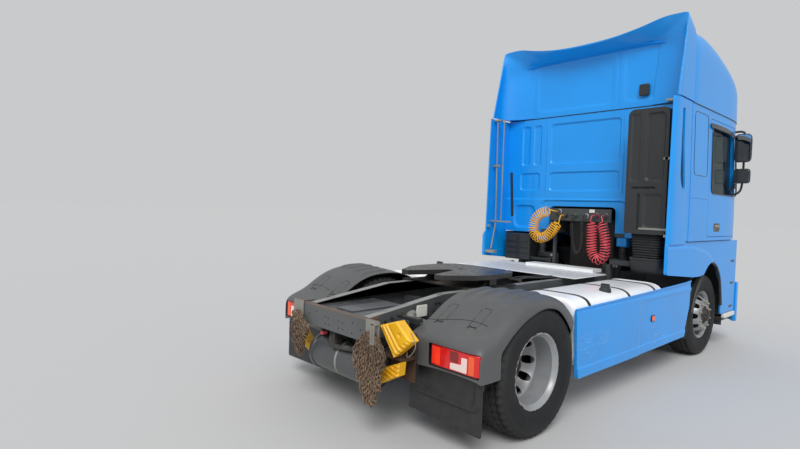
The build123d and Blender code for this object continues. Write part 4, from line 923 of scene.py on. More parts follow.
rear_joint = np.linspace((wall_x - 0.001, -1.21, joint_z + 0.002), (wall_x - 0.001, 1.21, joint_z + 0.002), 9)
piece("roof_joint", pipe(joint_line, 0.006, 6) + pipe(rear_joint, 0.006, 6), "trim_black", body="cab")
roof_lamp = block((wall_x - 0.030, wall_x + 0.004), (-0.765, -0.650), (3.160, 3.295), 0.018, axis="x", steps=4)
piece("roof_lamp", roof_lamp, "plastic", bevel=0.006, body="cab")

# %% [markdown]
# Tyres are turned profiles, but tread isn't the same all round, so the radius is an array of
# angle by profile point. The grooves that run round the tyre belong to the profile; the cuts
# across the shoulders switch on and off with the angle. The driven wheels carry blocks and the
# steered ones plain ribs.

# %% Tyres
tyre_radius, half_tread = 0.507, 0.118
crown_drop, groove_depth, half_groove = 0.006, 0.013, 0.0055
cut_share = 0.27               # of each lug's pitch
front_centre, outer_centre, inner_centre = 1.025, 1.088, 0.743
# radius and distance from the tyre's middle, bead to shoulder
sidewall = np.array([
    (0.290, 0.110), (0.299, 0.1195), (0.303, 0.129), (0.309, 0.130), (0.313, 0.1345), (0.330, 0.1405),
    (0.345, 0.146), (0.349, 0.1485), (0.353, 0.1475), (0.375, 0.1535), (0.402, 0.156), (0.425, 0.1555),
    (0.446, 0.1525), (0.449, 0.1545), (0.464, 0.1510), (0.467, 0.1475), (0.482, 0.1420), (0.492, 0.1330),
    (0.499, 0.1240)])


def tread_lines():
    grooves = [-0.083, -0.033, 0.033, 0.083]
    edges = [groove + side * 0.005 for groove in grooves for side in (-1, 1)]
    return crowded(-half_tread, half_tread, 0.016, edges, (0.0008, 0.0034)), np.array(grooves)


def tyre_form(x, centre, driven, steps=192, lugs=48):
    """x + r cos a, z + r sin a, where r is the profile's radius less the depth of the cuts at a."""
    tread_y, grooves = tread_lines()
    in_groove = np.min(np.abs(tread_y[:, None] - grooves[None]), axis=1) < half_groove
    crown = tyre_radius - crown_drop * (np.abs(tread_y) / half_tread) ** 2.5 - groove_depth * in_groove
    profile = np.vstack([sidewall, np.column_stack([crown, tread_y])[::-1], sidewall[::-1] * [1, -1]])
    turn = np.arange(steps) / steps
    wave = (turn[:, None] * lugs + 0.5 * (profile[None, :, 1] > 0)) % 1.0
    y = np.abs(profile[None, :, 1])
    cut_from_y, cut_from_radius, cut_depth = (0.036, 0.478, 0.011) if driven else (0.1195, 0.488, 0.004)
    blocks = (y > cut_from_y) & (profile[None, :, 0] > cut_from_radius)
    depth = np.where(blocks & (wave < cut_share), cut_depth, 0.0)
    radius = profile[None, :, 0] - depth * (y < half_tread + 0.03)
    angle = 2 * np.pi * turn[:, None]
    along = np.broadcast_to(centre + profile[None, :, 1], radius.shape)
    points = np.stack([x + radius * np.cos(angle), along, axle_z + radius * np.sin(angle)], axis=-1)
    return surface(points, wrap_rows=True, wrap_columns=True)


def wheel_share(finish, x):
    """Distance from a wheel's axle, for patterns that follow the radius."""
    return ((finish.east - x) ** 2.0 + (finish.height - axle_z) ** 2.0) ** 0.5


def tyre_finish(name, x):
    """Grey-black rubber: dusty on the sidewall's outer ring, worn paler on the tread."""
    made = Finish(name, {"Specular IOR Level": 0.35})
    radius = wheel_share(made, x)
    patches, fine = made.noise(5.0, 5.0), made.noise(60.0, 4.0)
    base = made.mix(patches.ramp(0.3, 0.7), linear(24, 25, 26), linear(33, 34, 35))
    dusty = radius.ramp(0.40, 0.50) * 0.25 + fine.ramp(0.45, 0.8) * 0.1
    worn = made.mix(radius.ramp(0.498, 0.505), made.mix(dusty, base, linear(72, 71, 69)), linear(46, 46, 46))
    rings = radius.wave(900.0) * radius.between(0.32, 0.43, 0.01)
    made.feed(base_color=worn, roughness=fine * 0.2 + 0.6, normal=made.bump(rings * 0.5 + fine, 0.0006))
    return made


tyre_finishes = {"front": tyre_finish("front_rubber", front_x), "rear": tyre_finish("rear_rubber", rear_x)}
front_tyre = tyre_form(front_x, front_centre, driven=False)
rear_tyres = tyre_form(rear_x, outer_centre, driven=True) + tyre_form(rear_x, inner_centre, driven=True)
for side in ("left", "right"):
    for axle, form, node in (("front", front_tyre, "front_tyre"), ("rear", rear_tyres, "rear_tyres")):
        piece(f"{axle}_tread_{side}", form.sided(side), tyre_finishes[axle],
              [f"{node}_{side}"], body=f"{axle}_wheel_{side}")

# %% [markdown]
# A steel rim is a barrel with a dish welded in. On the front wheel the dish bulges outwards; on a
# twin pair both rims carry it the other way, so the outer one is a deep bowl. The nuts stand on a
# circle of 335 mm, between the hand holes. The grey paint is chipped to rust along the flange.

# %% Rims
hole_circle, hole_radius, hole_count, nut_circle = 0.222, 0.034, 10, 0.1675
dish_outer, dish_inner, dish_thickness = 0.264, 0.186, 0.013


def rim_profile(dish_from, face):
    """Closed outline of a barrel and its dish, as (radius, y) from the rim's middle.

    dish_from is where the dish leaves the barrel, face is where its bolting face lies.
    """
    way = math.copysign(1.0, face - dish_from)
    outside = [(0.2975, 0.127), (0.2965, 0.1285), (0.290, 0.1285), (0.283, 0.123), (0.279, 0.112), (0.2745, 0.104),
               (0.268, 0.098), (0.2655, 0.085), (0.265, 0.0)]
    barrel = [(radius, way * y) for radius, y in outside]
    span = np.linspace(0.0, 1.0, 12)
    rise = span ** 2 * (3 - 2 * span)
    dish_radius = dish_outer - (dish_outer - dish_inner) * span
    dish_y = dish_from + (face - dish_from) * (0.25 * span + 0.75 * rise)
    front = list(zip(dish_radius, dish_y)) + [(0.180, face), (0.100, face)]
    through = way * dish_thickness
    back = [(0.100, face - through), (0.182, face - through)]
    back += list(zip((dish_radius + 0.004)[::-1], (dish_y - through)[::-1]))
    far_side = [(0.262, -way * 0.09), (0.274, -way * 0.104), (0.283, -way * 0.123), (0.290, -way * 0.1285),
                (0.2975, -way * 0.127), (0.2975, -way * 0.119), (0.288, -way * 0.113), (0.288, way * 0.113),
                (0.2975, way * 0.119)]
    return np.array(barrel + front + back + far_side)


def rim_form(x, centre, dish_from, face):
    profile = rim_profile(dish_from, face)
    return lathe(profile + [0.0, centre], x, axle_z, 120, closed=True)


def round_holes(x, circle, radius, count, low, high, sides=24):
    """Cylinders along Y on a circle about a wheel's axle."""
    angle = np.linspace(0, 2 * np.pi, sides, endpoint=False)
    one = slab(np.column_stack([radius * np.cos(angle), radius * np.sin(angle)]), low, high)
    return on_circle(x, circle, count, one)


def hexagon(radius, low, high):
    """A nut along Y with its corners turned off at the outer end."""
    angle = np.linspace(0, 2 * np.pi, 6, endpoint=False)
    ring = np.column_stack([np.cos(angle), np.zeros(6), np.sin(angle)])
    levels = [(radius, low), (radius, low + 0.8 * (high - low)), (0.84 * radius, high)]
    return tubular(np.stack([ring * [size, 0, size] + [0, y, 0] for size, y in levels]))


def on_circle(x, circle, count, form, start=0.0):
    turn = start + 2 * np.pi * np.arange(count) / count
    places = np.column_stack([x + circle * np.cos(turn), np.zeros(count), axle_z + circle * np.sin(turn)])
    return repeated(form, placed(places))


def rim_finish(name, x):
    """Silver-grey paint with brake dust in the bowl and rust where the flange is chipped."""
    made = used(name, linear(160, 163, 166), 0.42, 0.25, 0.15, 200.0, 0.0001, 0.06, 0.1, 0.22)
    radius = wheel_share(made, x)
    chips = made.noise(34.0, 6.0)
    chipped = radius.ramp(0.288, 0.2945) * chips.ramp(0.46, 0.56)
    grime = radius.ramp(0.27, 0.17) * made.noise(11.0, 5.0).ramp(0.35, 0.7) * 0.55
    dirty = made.mix(grime, made.dusty, linear(70, 66, 62))
    made.feed(base_color=made.mix(chipped, dirty, linear(104, 70, 46)),
              roughness=chipped * 0.4 + grime * 0.3 + 0.38)
    return made


rim_finishes = {"front": rim_finish("front_rim_paint", front_x), "rear": rim_finish("rear_rim_paint", rear_x)}
twin_face = (outer_centre + inner_centre) / 2
front_bulge = 0.165
front_face = front_centre + front_bulge
front_rim = rim_form(front_x, front_centre, 0.045, front_bulge)
outer_rim = rim_form(rear_x, outer_centre, -0.070, twin_face - outer_centre)
inner_rim = rim_form(rear_x, inner_centre, 0.070, twin_face - inner_centre)
front_hub = lathe([(0.001, 1.243), (0.052, 1.243), (0.066, 1.238), (0.074, 1.226), (0.077, 1.200), (0.098, 1.196),
                   (0.112, 1.190), (0.140, 1.172), (0.150, 1.12), (0.090, 1.10), (0.212, 1.045), (0.212, 1.000),
                   (0.046, 1.000), (0.046, 1.170), (0.001, 1.180)], front_x, axle_z, 60)
rear_hub = lathe([(0.001, 0.972), (0.070, 0.972), (0.082, 0.968), (0.088, 0.958), (0.092, 0.946), (0.106, 0.943),
                  (0.110, 0.935), (0.127, 0.932), (0.138, 0.925), (0.150, 0.900), (0.205, 0.850), (0.212, 0.845),
                  (0.212, 0.610), (0.088, 0.612), (0.088, 0.780), (0.062, 0.79), (0.061, 0.93), (0.001, 0.936)],
                 rear_x, axle_z, 60)
nut = hexagon(0.0170, 0.0, 0.022) + hexagon(0.022, 0.0, 0.005) + hexagon(0.0095, 0.022, 0.029)
between_holes = math.pi / hole_count
front_nuts = on_circle(front_x, nut_circle, hole_count, nut.moved(y=front_face), between_holes)
rear_nuts = on_circle(rear_x, nut_circle, hole_count, nut.moved(y=twin_face + dish_thickness), between_holes)
cap_bolts = on_circle(rear_x, 0.099, 12, hexagon(0.008, 0.943, 0.953))
front_holes = round_holes(front_x, hole_circle, hole_radius, hole_count, 1.02, 1.24)
twin_holes = round_holes(rear_x, hole_circle, hole_radius, hole_count, 0.76, 1.07)
for side in ("left", "right"):
    front_body, rear_body = f"front_wheel_{side}", f"rear_wheel_{side}"
    piece(f"front_disc_{side}", front_rim.sided(side), rim_finishes["front"], [f"front_rim_{side}"],
          cuts=[front_holes.sided(side)], body=front_body)
    piece(f"rear_discs_{side}", outer_rim.sided(side) + inner_rim.sided(side), rim_finishes["rear"],
          [f"rear_rims_{side}"], cuts=[twin_holes.sided(side)], body=rear_body)
    piece(f"front_hub_{side}", front_hub.sided(side), "cast", body=front_body)
    piece(f"rear_hub_{side}", (rear_hub + cap_bolts).sided(side), "cast", body=rear_body)
    piece(f"front_nuts_{side}", front_nuts.sided(side), "pale_metal", body=front_body)
    piece(f"rear_nuts_{side}", rear_nuts.sided(side), "pale_metal", body=rear_body)
print("wheels made")

# %% [markdown]
# Each rear mudguard is one moulding. Three lines run along it: the top's outline, the fold where
# the shoulder ends, and the lip round the tyre. Between the first two the surface rolls over as a
# quarter ellipse. The boxy rear is the same surface, with its lines set square.

# %% Rear mudguards
guard_inner, guard_edge, guard_outer, guard_thickness, guard_crown = 0.575, 1.105, 1.250, 0.007, 0.026
# top line (x, z), shoulder fold (x, z), lip (x, z), from the rear foot over the wheel to the front
guard_lines = np.array([
    (-0.757, 0.560, -0.738, 0.560, -0.530, 0.560), (-0.757, 0.680, -0.738, 0.660, -0.530, 0.655),
    (-0.752, 0.748, -0.730, 0.722, -0.530, 0.712), (-0.700, 0.792, -0.690, 0.760, -0.518, 0.745),
    (-0.565, 0.850, -0.550, 0.812, -0.465, 0.795), (-0.440, 0.930, -0.425, 0.884, -0.385, 0.855),
    (-0.330, 0.990, -0.315, 0.944, -0.265, 0.922), (-0.220, 1.028, -0.205, 0.984, -0.175, 0.956),
    (-0.120, 1.045, -0.100, 1.010, -0.070, 0.985), (0.000, 1.052, 0.020, 1.020, 0.030, 0.996),
    (0.120, 1.047, 0.130, 1.012, 0.125, 0.984), (0.230, 1.028, 0.218, 0.986, 0.205, 0.958),
    (0.340, 0.990, 0.300, 0.940, 0.290, 0.898), (0.430, 0.932, 0.385, 0.862, 0.365, 0.820),
    (0.497, 0.860, 0.450, 0.782, 0.425, 0.742), (0.500, 0.700, 0.490, 0.680, 0.472, 0.655),
    (0.520, 0.500, 0.510, 0.500, 0.487, 0.500), (0.540, 0.335, 0.530, 0.335, 0.493, 0.335)])
guard_top = eased(guard_lines[2:15, :2], 8)


def crown(y):
    """The top rises a little from the frame side to the shoulder: r sin."""
    share = np.clip((y - guard_inner) / (guard_edge - guard_inner), 0.0, 1.0)
    return guard_crown * np.sin(share * np.pi * 0.6)


def on_guard(x, y, height):
    """Points a height above the guard's top surface."""
    z = np.interp(x, guard_top[:, 0], guard_top[:, 1]) + crown(y) + guard_thickness + height
    return np.stack(np.broadcast_arrays(ahead(x), y, z), axis=-1)


def guard_sheet():
    """Rows along the guard, columns across it: crowned top, quarter-ellipse shoulder, lip."""
    lines = eased(guard_lines, 6)
    top, fold, lip = lines[:, None, 0:2], lines[:, None, 2:4], lines[:, None, 4:6]
    outer_y = guard_outer - 0.042 * step_in(lip[..., 0] - 0.40, 0.05) - 0.002
    quarter = np.linspace(0.0, np.pi / 2, 9)[1:]
    flat_y = np.linspace(guard_inner, guard_edge, 14)[None, :] + 0 * outer_y
    flat = np.broadcast_to(top, (*flat_y.shape, 2)).copy()
    flat[..., 1] += crown(flat_y)
    shoulder_y = guard_edge + (outer_y - guard_edge) * np.sin(quarter)[None, :]
    start = top + [0.0, float(crown(guard_edge))]
    shoulder = start + (fold - start) * (1 - np.cos(quarter))[None, :, None]
    edge_share = np.linspace(0.0, 1.0, 5)[None, 1:]
    edge_y = outer_y + 0.004 * np.sin(np.pi * edge_share)
    edge = fold + (lip - fold) * edge_share[..., None]
    y = np.hstack([flat_y, shoulder_y, edge_y])
    plane = np.concatenate([flat, shoulder, edge], axis=1)
    return np.stack([ahead(plane[..., 0]), y, plane[..., 1]], axis=-1)


def offset_sheet(sheet, distance):
    """Each point moved along the sheet's normal, the cross product of its two directions."""
    along, across_way = np.gradient(sheet, axis=0), np.gradient(sheet, axis=1)
    normal = np.cross(along, across_way)
    length = np.linalg.norm(normal, axis=-1, keepdims=True)
    return sheet + distance * normal / np.maximum(length, 1e-9)


guard_skin = guard_sheet()
guard_wall = walled(guard_skin, offset_sheet(guard_skin, guard_thickness))
lamp_hole = box_at((-0.80, -0.62), (0.785, 1.245), (0.593, 0.757), 0.015, axis="x").both()
piece("rear_guards", guard_wall.both(), "guard_plastic", ["rear_mudguards"], bevel=0.002,
      cuts=[lamp_hole])


def leaf_rib(x, y, half_length=0.20, half_width=0.042, proud=0.018):
    """A long soft ridge on the crown: h (1 - v^2)(1 - u^6), its outline pointed at both ends."""
    u, v = np.meshgrid(np.linspace(-1.0, 1.0, 25), np.linspace(-1.0, 1.0, 9), indexing="ij")
    width = half_width * (1 - np.abs(u) ** 2.6) ** 0.7
    at_x, at_y = x + half_length * u, y + width * v
    height = proud * (1 - v ** 2) * (1 - u ** 6)
    return walled(on_guard(at_x, at_y, height), on_guard(at_x, at_y, 0 * height - 0.006))


def drawn_on_guard(outline, height, radius):
    """The outline as a thin bar on the guard's top, at two places across it."""
    return together([pipe(on_guard(outline[:, 0], y + outline[:, 1], height), radius, 6) for y in (0.700, 1.020)])


ribs = together([leaf_rib(x, y) for x, y in ((-0.10, 0.680), (-0.07, 0.825), (-0.04, 0.970), (-0.02, 1.090))])
piece("guard_ribs", ribs.both(), "guard_plastic", closed=False)
tab_outline = rounded(rectangle(-0.560, -0.385, -0.042, 0.042), 0.025, 4)
slot_outline = rounded(rectangle(-0.582, -0.566, -0.036, 0.036), 0.007, 3)
tabs_and_slots = drawn_on_guard(tab_outline, 0.0012, 0.0022) + drawn_on_guard(slot_outline, 0.001, 0.005)
seam_y = np.linspace(guard_inner, guard_edge + 0.02, 30)
seam_x = -0.535 + 0.02 * np.sin(8 * seam_y)
seam = pipe(on_guard(seam_x, seam_y, 0.0012), 0.0026, 6)
piece("guard_seams", (tabs_and_slots + seam).both(), "trim_black", closed=False)
backing = box_at((-0.690, -0.678), (0.580, 1.236), (0.50, 0.735), 0.02, axis="x").both()
arms = (box_at((-0.70, -0.64), (0.395, 0.60), (0.85, 0.88))
        + box_at((0.25, 0.31), (0.395, 0.60), (0.96, 0.99))).both()
piece("guard_brackets", backing + arms, "plastic", bevel=0.003)

# %% [markdown]
# The rubber flap hangs below the lamp. Its upper half has a moulded pocket with a raised rim. The
# same pressed-sheet function serves, with the depth running rearwards.

# %% Flaps and tail lamps
flap_x = ahead(-0.698)
flap_pressings = [(0.575, 1.228, 0.335, 0.800, 0.080, 0.020, -0.020),
                  (0.612, 1.196, 0.368, 0.800, 0.070, 0.030, 0.022)]
flap_outline = rounded([(0.540, 0.200), (0.560, 0.64), (1.238, 0.64), (1.238, 0.196), (1.225, 0.184)], 0.012, 2)
flap_sheet = pressed_sheet(flap_x - 0.004, flap_pressings, (0.53, 1.25), (0.18, 0.65), wall=0.008)
piece("flaps", flap_sheet.both(), "flap_rubber", ["mud_flaps"],
      keep=slab(flap_outline, flap_x - 0.05, flap_x + 0.03, axis="x").both())

lens = used("red_lens", linear(206, 10, 12), 0.16, 0.0, 0.9, 400.0, 0.0, 0.06, 0.02, 0.02)
facets = lens.north.wave(520.0) * lens.height.wave(520.0)
lens.feed(normal=lens.bump(facets, 0.0006, 0.7))
lens.shader.inputs["Emission Strength"].default_value = 0.12
from_middle = lens.north.math("ABSOLUTE")
bright_cells = from_middle.between(0.800, 0.890) * lens.height.between(0.612, 0.738)
dark_cells = from_middle.between(0.980, 1.060) * lens.height.between(0.660, 0.738)
lit = lens.mix(bright_cells, lens.mix(dark_cells, lens.tone, linear(120, 0, 6)), linear(255, 52, 30))
lens.feed(base_color=lit, emission_color=lit)
lamp_x = ahead(-0.75)
lamp_edge = [(lamp_x + 0.006, 0.794), (lamp_x, 0.84), (lamp_x, 1.200), (lamp_x + 0.016, 1.236),
             (lamp_x + 0.060, 1.236), (lamp_x + 0.060, 0.794)]
piece("tail_lenses", slab(rounded(lamp_edge, 0.012, 4), 0.600, 0.750, axis="z").both(), lens,
      ["tail_lamps"], bevel=0.006)
l_shape = [(0.985, 0.610), (1.135, 0.610), (1.135, 0.712), (1.085, 0.712), (1.085, 0.660), (0.985, 0.654)]
reverse_lens = slab(rounded(l_shape, 0.008, 3), lamp_x - 0.0035, lamp_x + 0.02, axis="x")
piece("reverse_lenses", reverse_lens.both(), "white_lens", bevel=0.002)
turn_lens = block((lamp_x - 0.003, lamp_x + 0.02), (1.150, 1.196), (0.607, 0.735), 0.006, axis="x")
piece("turn_lenses", turn_lens.both(), "orange_lens", bevel=0.002)
lamp_bars = together([block((lamp_x - 0.0028, lamp_x + 0.01), (y, y + 0.003), (0.602, 0.748))
                      for y in (0.892, 0.972)])
piece("lens_bars", lamp_bars.both(), lens)

# %% [markdown]
# The painted skirts hide the tanks' outer sides. They are pressed sheet too, but seen from the
# side, so the sheet is made facing rearwards and turned a quarter.

# %% Skirts
def side_sheet(y, pressings, x_range, z_range, wall=0.024, step=0.08):
    """Pressed sheet in the plane of the vehicle's side: (depth, x, z) becomes (x, y - depth, z)."""
    sheet = pressed_sheet(0.0, pressings, x_range, z_range, step, wall)
    return Form(np.column_stack([sheet.points[:, 1], y - sheet.points[:, 0], sheet.points[:, 2]]), sheet.faces)


skirt_outline = [(0.502, 0.925), (0.548, 0.350), (1.500, 0.350), (2.970, 0.362), (3.120, 0.700), (3.140, 0.985),
                 (2.820, 0.971)]
skirt_edge = outline_at(skirt_outline, 0.02, 3)
# low x, high x, low z, high z, corner, edge, depth
skirt_pressings = [
    (ahead(0.3), ahead(3.4), 0.900, 1.200, 0.010, 0.030, 0.010),
    (ahead(1.74), ahead(3.5), 0.200, 0.885, 0.120, 0.025, 0.007),
    (ahead(0.3), ahead(3.4), 0.200, 0.440, 0.010, 0.014, -0.009),
]
skirt = side_sheet(1.243, skirt_pressings, (ahead(0.45), ahead(3.2)), (0.30, 1.02))
piece("skirts", skirt.both(), skirt_paint, ["side_skirts"], bevel=0.002,
      keep=slab(skirt_edge, 1.20, 1.27).both())
stays = together([block((ahead(x), ahead(x) + 0.08), (1.19, 1.222), (0.62, 0.70)) for x in (0.8, 1.5, 2.2)])
piece("skirt_stays", stays.both(), "chassis", bevel=0.002)
marker = box_at((2.035, 2.105), (1.236, 1.249), (0.652, 0.700), 0.012, axis="y", steps=4)
piece("side_markers", marker.both(), "orange_lens", bevel=0.003)
marker_rim = box_at((2.027, 2.113), (1.232, 1.2455), (0.644, 0.708), 0.014, axis="y", steps=4)
piece("marker_rims", marker_rim.both(), "trim_black", bevel=0.002)
lip_path = path_at([(0.505, 1.236, 0.928), (1.6, 1.236, 0.946), (2.82, 1.236, 0.973), (3.13, 1.236, 0.986)], 6)
piece("skirt_lips", pipe(lip_path, 0.009, 8).both(), skirt_paint)

# %% [markdown]
# The two aluminium tanks are rounded boxes: a superellipse section carried along the frame, with
# its last centimetres drawn in at both ends. Dark straps hold them, and a seam shows near each end.

# %% Fuel tanks
tank_middle, tank_half_y, tank_half_z, tank_z = 0.8825, 0.3225, 0.300, 0.700


def superellipse(half_a, half_b, count, power=5.0):
    """a cos^(2/n) t and b sin^(2/n) t, each with its own sign, for t all the way round."""
    angle = np.linspace(0.0, 2 * np.pi, count, endpoint=False)
    return np.column_stack([half_a * signed_power(np.cos(angle), power),
                            half_b * signed_power(np.sin(angle), power)])


def tank_form(x_low, x_high, grow=0.0, fillet=0.035):
    """Rings along X; near each end the section shrinks as a quarter circle."""
    turn = np.linspace(0.0, np.pi / 2, 7)
    shrink = np.concatenate([-fillet * (1 - np.sin(turn)), -fillet * (1 - np.cos(turn))])
    x = np.concatenate([x_low + fillet * (1 - np.cos(turn)), x_high - fillet * (1 - np.sin(turn))])
    rings = [superellipse(tank_half_y + grow + less, tank_half_z + grow + less, 72) for less in shrink]
    return tubular(np.stack([np.column_stack([np.full(72, at), ring + [tank_middle, tank_z]])
                             for at, ring in zip(x, rings)]))


tank_bodies = tank_form(ahead(0.56), ahead(2.44))
piece("tanks", tank_bodies.both(), "tank_metal", ["fuel_tanks"])


def tank_bands(places, half_width, grow, fillet):
    return together([tank_form(ahead(x) - half_width, ahead(x) + half_width, grow, fillet) for x in places]).both()


piece("tank_straps", tank_bands((0.82, 1.62, 2.24), 0.022, 0.003, 0.002), "dark_steel")
piece("tank_seams", tank_bands((0.60, 2.40), 0.006, 0.0015, 0.001), "tank_metal")
cap_profile = [(0.001, 1.052), (0.034, 1.052), (0.042, 1.047), (0.043, 1.026), (0.052, 1.023), (0.056, 0.99),
               (0.001, 0.985)]
cap_x = ahead(1.33)
cap = (lathe(cap_profile, cap_x, 1.075, 40, axis="z")
       + block((cap_x - 0.012, cap_x + 0.012), (1.035, 1.115), (1.045, 1.066), 0.004))
piece("filler_caps", cap.both(), "plastic", bevel=0.002)
print("guards, skirts and tanks made")

# %% [markdown]
# Behind the roof stands a hood that guides air over the trailer. It is a loft of rings, one ring
# for each station from the right foot over the top to the left foot. Four lines give each ring:
# the rear rim, the outer root on the roof, the hollow of the concave inside, and the seat on the
# roof's rear face. Only the right half is written down; the left half is its mirror image.

# %% Air hood
# x ahead of the rear axle, y, z, from the foot at the joint line up and over to the middle
hood_rim = [(2.490, -1.232, 3.040), (2.575, -1.230, 3.420), (2.655, -1.228, 3.780), (2.688, -1.224, 3.930),
            (2.698, -1.205, 3.978), (2.700, -1.100, 3.988), (2.700, -0.943, 3.982), (2.690, -0.700, 3.925),
            (2.680, -0.450, 3.882), (2.675, -0.220, 3.863), (2.672, 0.000, 3.858)]
hood_root = [(2.960, -1.232, 3.040), (2.960, -1.231, 3.420), (2.970, -1.224, 3.700), (2.990, -1.200, 3.850),
             (3.020, -1.160, 3.915), (3.040, -1.080, 3.945), (3.050, -0.940, 3.962), (3.050, -0.700, 3.966),
             (3.050, -0.450, 3.967), (3.050, -0.220, 3.968), (3.050, 0.000, 3.968)]
hood_hollow = [(2.760, -1.175, 3.040), (2.770, -1.172, 3.400), (2.790, -1.130, 3.640), (2.800, -1.040, 3.760),
               (2.810, -0.950, 3.800), (2.810, -0.850, 3.810), (2.810, -0.750, 3.800), (2.810, -0.600, 3.790),
               (2.810, -0.420, 3.780), (2.810, -0.210, 3.775), (2.810, 0.000, 3.775)]
hood_seat = [(2.879, -0.800, 3.040), (2.879, -0.830, 3.400), (2.879, -0.850, 3.620), (2.879, -0.860, 3.740),
             (2.879, -0.820, 3.765), (2.879, -0.750, 3.770), (2.879, -0.680, 3.770), (2.879, -0.550, 3.765),
             (2.879, -0.400, 3.760), (2.879, -0.200, 3.755), (2.879, 0.000, 3.755)]
hood_sheet_wall, hood_centre_z = 0.018, 3.3


def over_the_top(rows):
    """The right half's line made smooth, and carried on over the left half."""
    right = eased(rows, 5) + [rear_x, 0.0, 0.0]
    return np.vstack([right, right[-2::-1] * [1.0, -1.0, 1.0]])


rim, root, hollow, seat = (over_the_top(rows) for rows in (hood_rim, hood_root, hood_hollow, hood_seat))
inwards = np.array([0.0, 0.0, hood_centre_z]) - rim * [0.0, 1.0, 1.0]
lip = rim + [0.004, 0.0, 0.0] + hood_sheet_wall * unit(inwards)
bend_share = np.linspace(0.0, 1.0, 8)[:, None, None]
bend = 2 * hollow - (lip + seat) / 2
inner_side = (1 - bend_share) ** 2 * lip + 2 * bend_share * (1 - bend_share) * bend + bend_share ** 2 * seat
rings = np.concatenate([rim[None], root[None], inner_side[::-1]]).transpose(1, 0, 2)
piece("air_hood", tubular(rings), paint, bevel=0.003, body="cab")

# %% [markdown]
# A tall collar closes the gap on each side. Its plan is flat along the cab's side and curls in at
# the rear edge; the edge leans, so each level of the loft moves it a little. A long slot parts
# the curl from the wall, and a black sheet at the slot's floor is painted shade in the gap.

# %% Side collars
collar_levels = np.linspace(1.425, 3.020, 12)
collar_front_x, collar_length = 2.879, 0.490
# x ahead of the rear axle less the rear edge's place, and y; outside first, then back inside
collar_plan = np.array([
    (0.490, 1.240), (0.340, 1.2445), (0.110, 1.2445), (0.066, 1.2415), (0.034, 1.234), (0.012, 1.222),
    (0.002, 1.209), (0.006, 1.200), (0.030, 1.204), (0.110, 1.214), (0.340, 1.216), (0.490, 1.214)])


def collar_form(low, high):
    levels = collar_levels[(collar_levels >= low) & (collar_levels <= high)]
    edge = 2.391 + 0.028 * (levels - 1.56) / 1.4
    stretch = (collar_front_x - edge) / collar_length
    x = ahead(edge[:, None] + collar_plan[None, :, 0] * stretch[:, None])
    y, z = np.broadcast_arrays(collar_plan[None, :, 1], levels[:, None])
    return tubular(np.stack([x, y, z], axis=-1))


air_slot = outline_at([(2.606, 2.915), (2.670, 2.925), (2.695, 2.500), (2.765, 2.060), (2.738, 2.010),
                       (2.665, 2.060), (2.614, 2.174)], 0.03, 4)
collar = collar_form(1.4, 3.1)
piece("collars", collar.both(), paint, ["air_deflectors"], bevel=0.002,
      cuts=[slab(air_slot, 1.222, 1.30).both()], body="cab")
# A black sheet in the slot: painted shade in the gap, not a part of the collar.
slot_shade_sheet = box_at((2.60, 2.78), (1.2215, 1.2235), (2.0, 2.93))
piece("slot_shade_sheet", slot_shade_sheet.both(), "trim_black", body="cab")
foot_lug = box_at((2.41, 2.45), (1.170, 1.208), (1.50, 1.53), 0.008)
stay_arms = together([
    box_at((2.495, 2.515), (0.867, 1.21), (1.570, 1.592), 0.004),
    box_at((2.50, 2.54), (1.10, 1.21), (2.345, 2.375), 0.006),
    box_at((2.50, 2.54), (1.12, 1.21), (1.565, 1.595), 0.006),
    box_at((2.50, 2.56), (1.10, 1.21), (2.985, 3.010), 0.006),
    foot_lug])
piece("collar_brackets", stay_arms.both(), "pale_metal", bevel=0.003, body="cab")


def rod(start, end, radius):
    """A straight bar between two points whose X is given ahead of the rear axle."""
    return pipe(np.linspace(*(np.array([start, end]) + [rear_x, 0.0, 0.0]), 3), radius, 14)


pale_rods = (rod((2.52, 1.165, 3.00), (2.51, 1.130, 1.57), 0.010)
             + rod((2.53, 1.060, 3.00), (2.51, 1.040, 1.57), 0.008))
piece("pale_rods", pale_rods, "pale_metal", body="cab")
lower_rod = rod((2.51, 1.130, 1.555), (2.45, 1.150, 1.190), 0.010)
rod_foot = box_at((2.39, 2.48), (1.065, 1.207), (1.140, 1.178), 0.010, steps=4)
piece("rod_foot", lower_rod + rod_foot, "pale_metal", bevel=0.002, body="cab")
piece("dark_rods", rod((2.62, 0.970, 2.27), (2.62, 0.930, 1.66), 0.018), "trim_black", body="cab")

# %% [markdown]
# The engine breathes through a flat duct behind the cab's right corner. A folded bellows joins it
# to the filter bowl on the chassis, so that the cab can tilt away. The bellows is one loft whose
# rings swell and shrink: scale 1 + 0.045 cos(2 pi n), with n folds over its height.

# %% Air intake
# low y, high y, low z, high z, corner, edge, depth
duct_pressings = [
    (-1.118, -0.905, 2.110, 2.880, 0.055, 0.022, 0.020),
    (-1.118, -0.905, 1.585, 1.975, 0.040, 0.020, 0.014),
    (-1.028, -0.763, 2.024, 2.052, 0.010, 0.008, 0.020),
    (-0.868, -0.838, 1.560, 1.975, 0.012, 0.009, 0.018),
    (-0.850, -0.735, 2.110, 2.880, 0.030, 0.020, 0.008),
]
duct_outline = rounded([(-1.150, 1.52), (-1.150, 2.885), (-1.110, 2.93), (-0.740, 2.93), (-0.700, 2.885),
                        (-0.700, 1.52)], 0.03, 3)
duct = pressed_sheet(ahead(2.50), duct_pressings, (-1.16, -0.69), (1.51, 2.94), wall=0.375)
piece("duct", duct, "plastic", ["intake_snorkel"], bevel=0.006,
      keep=slab(duct_outline, ahead(2.45), ahead(2.95), axis="x"), body="cab")


intake_y = -0.925


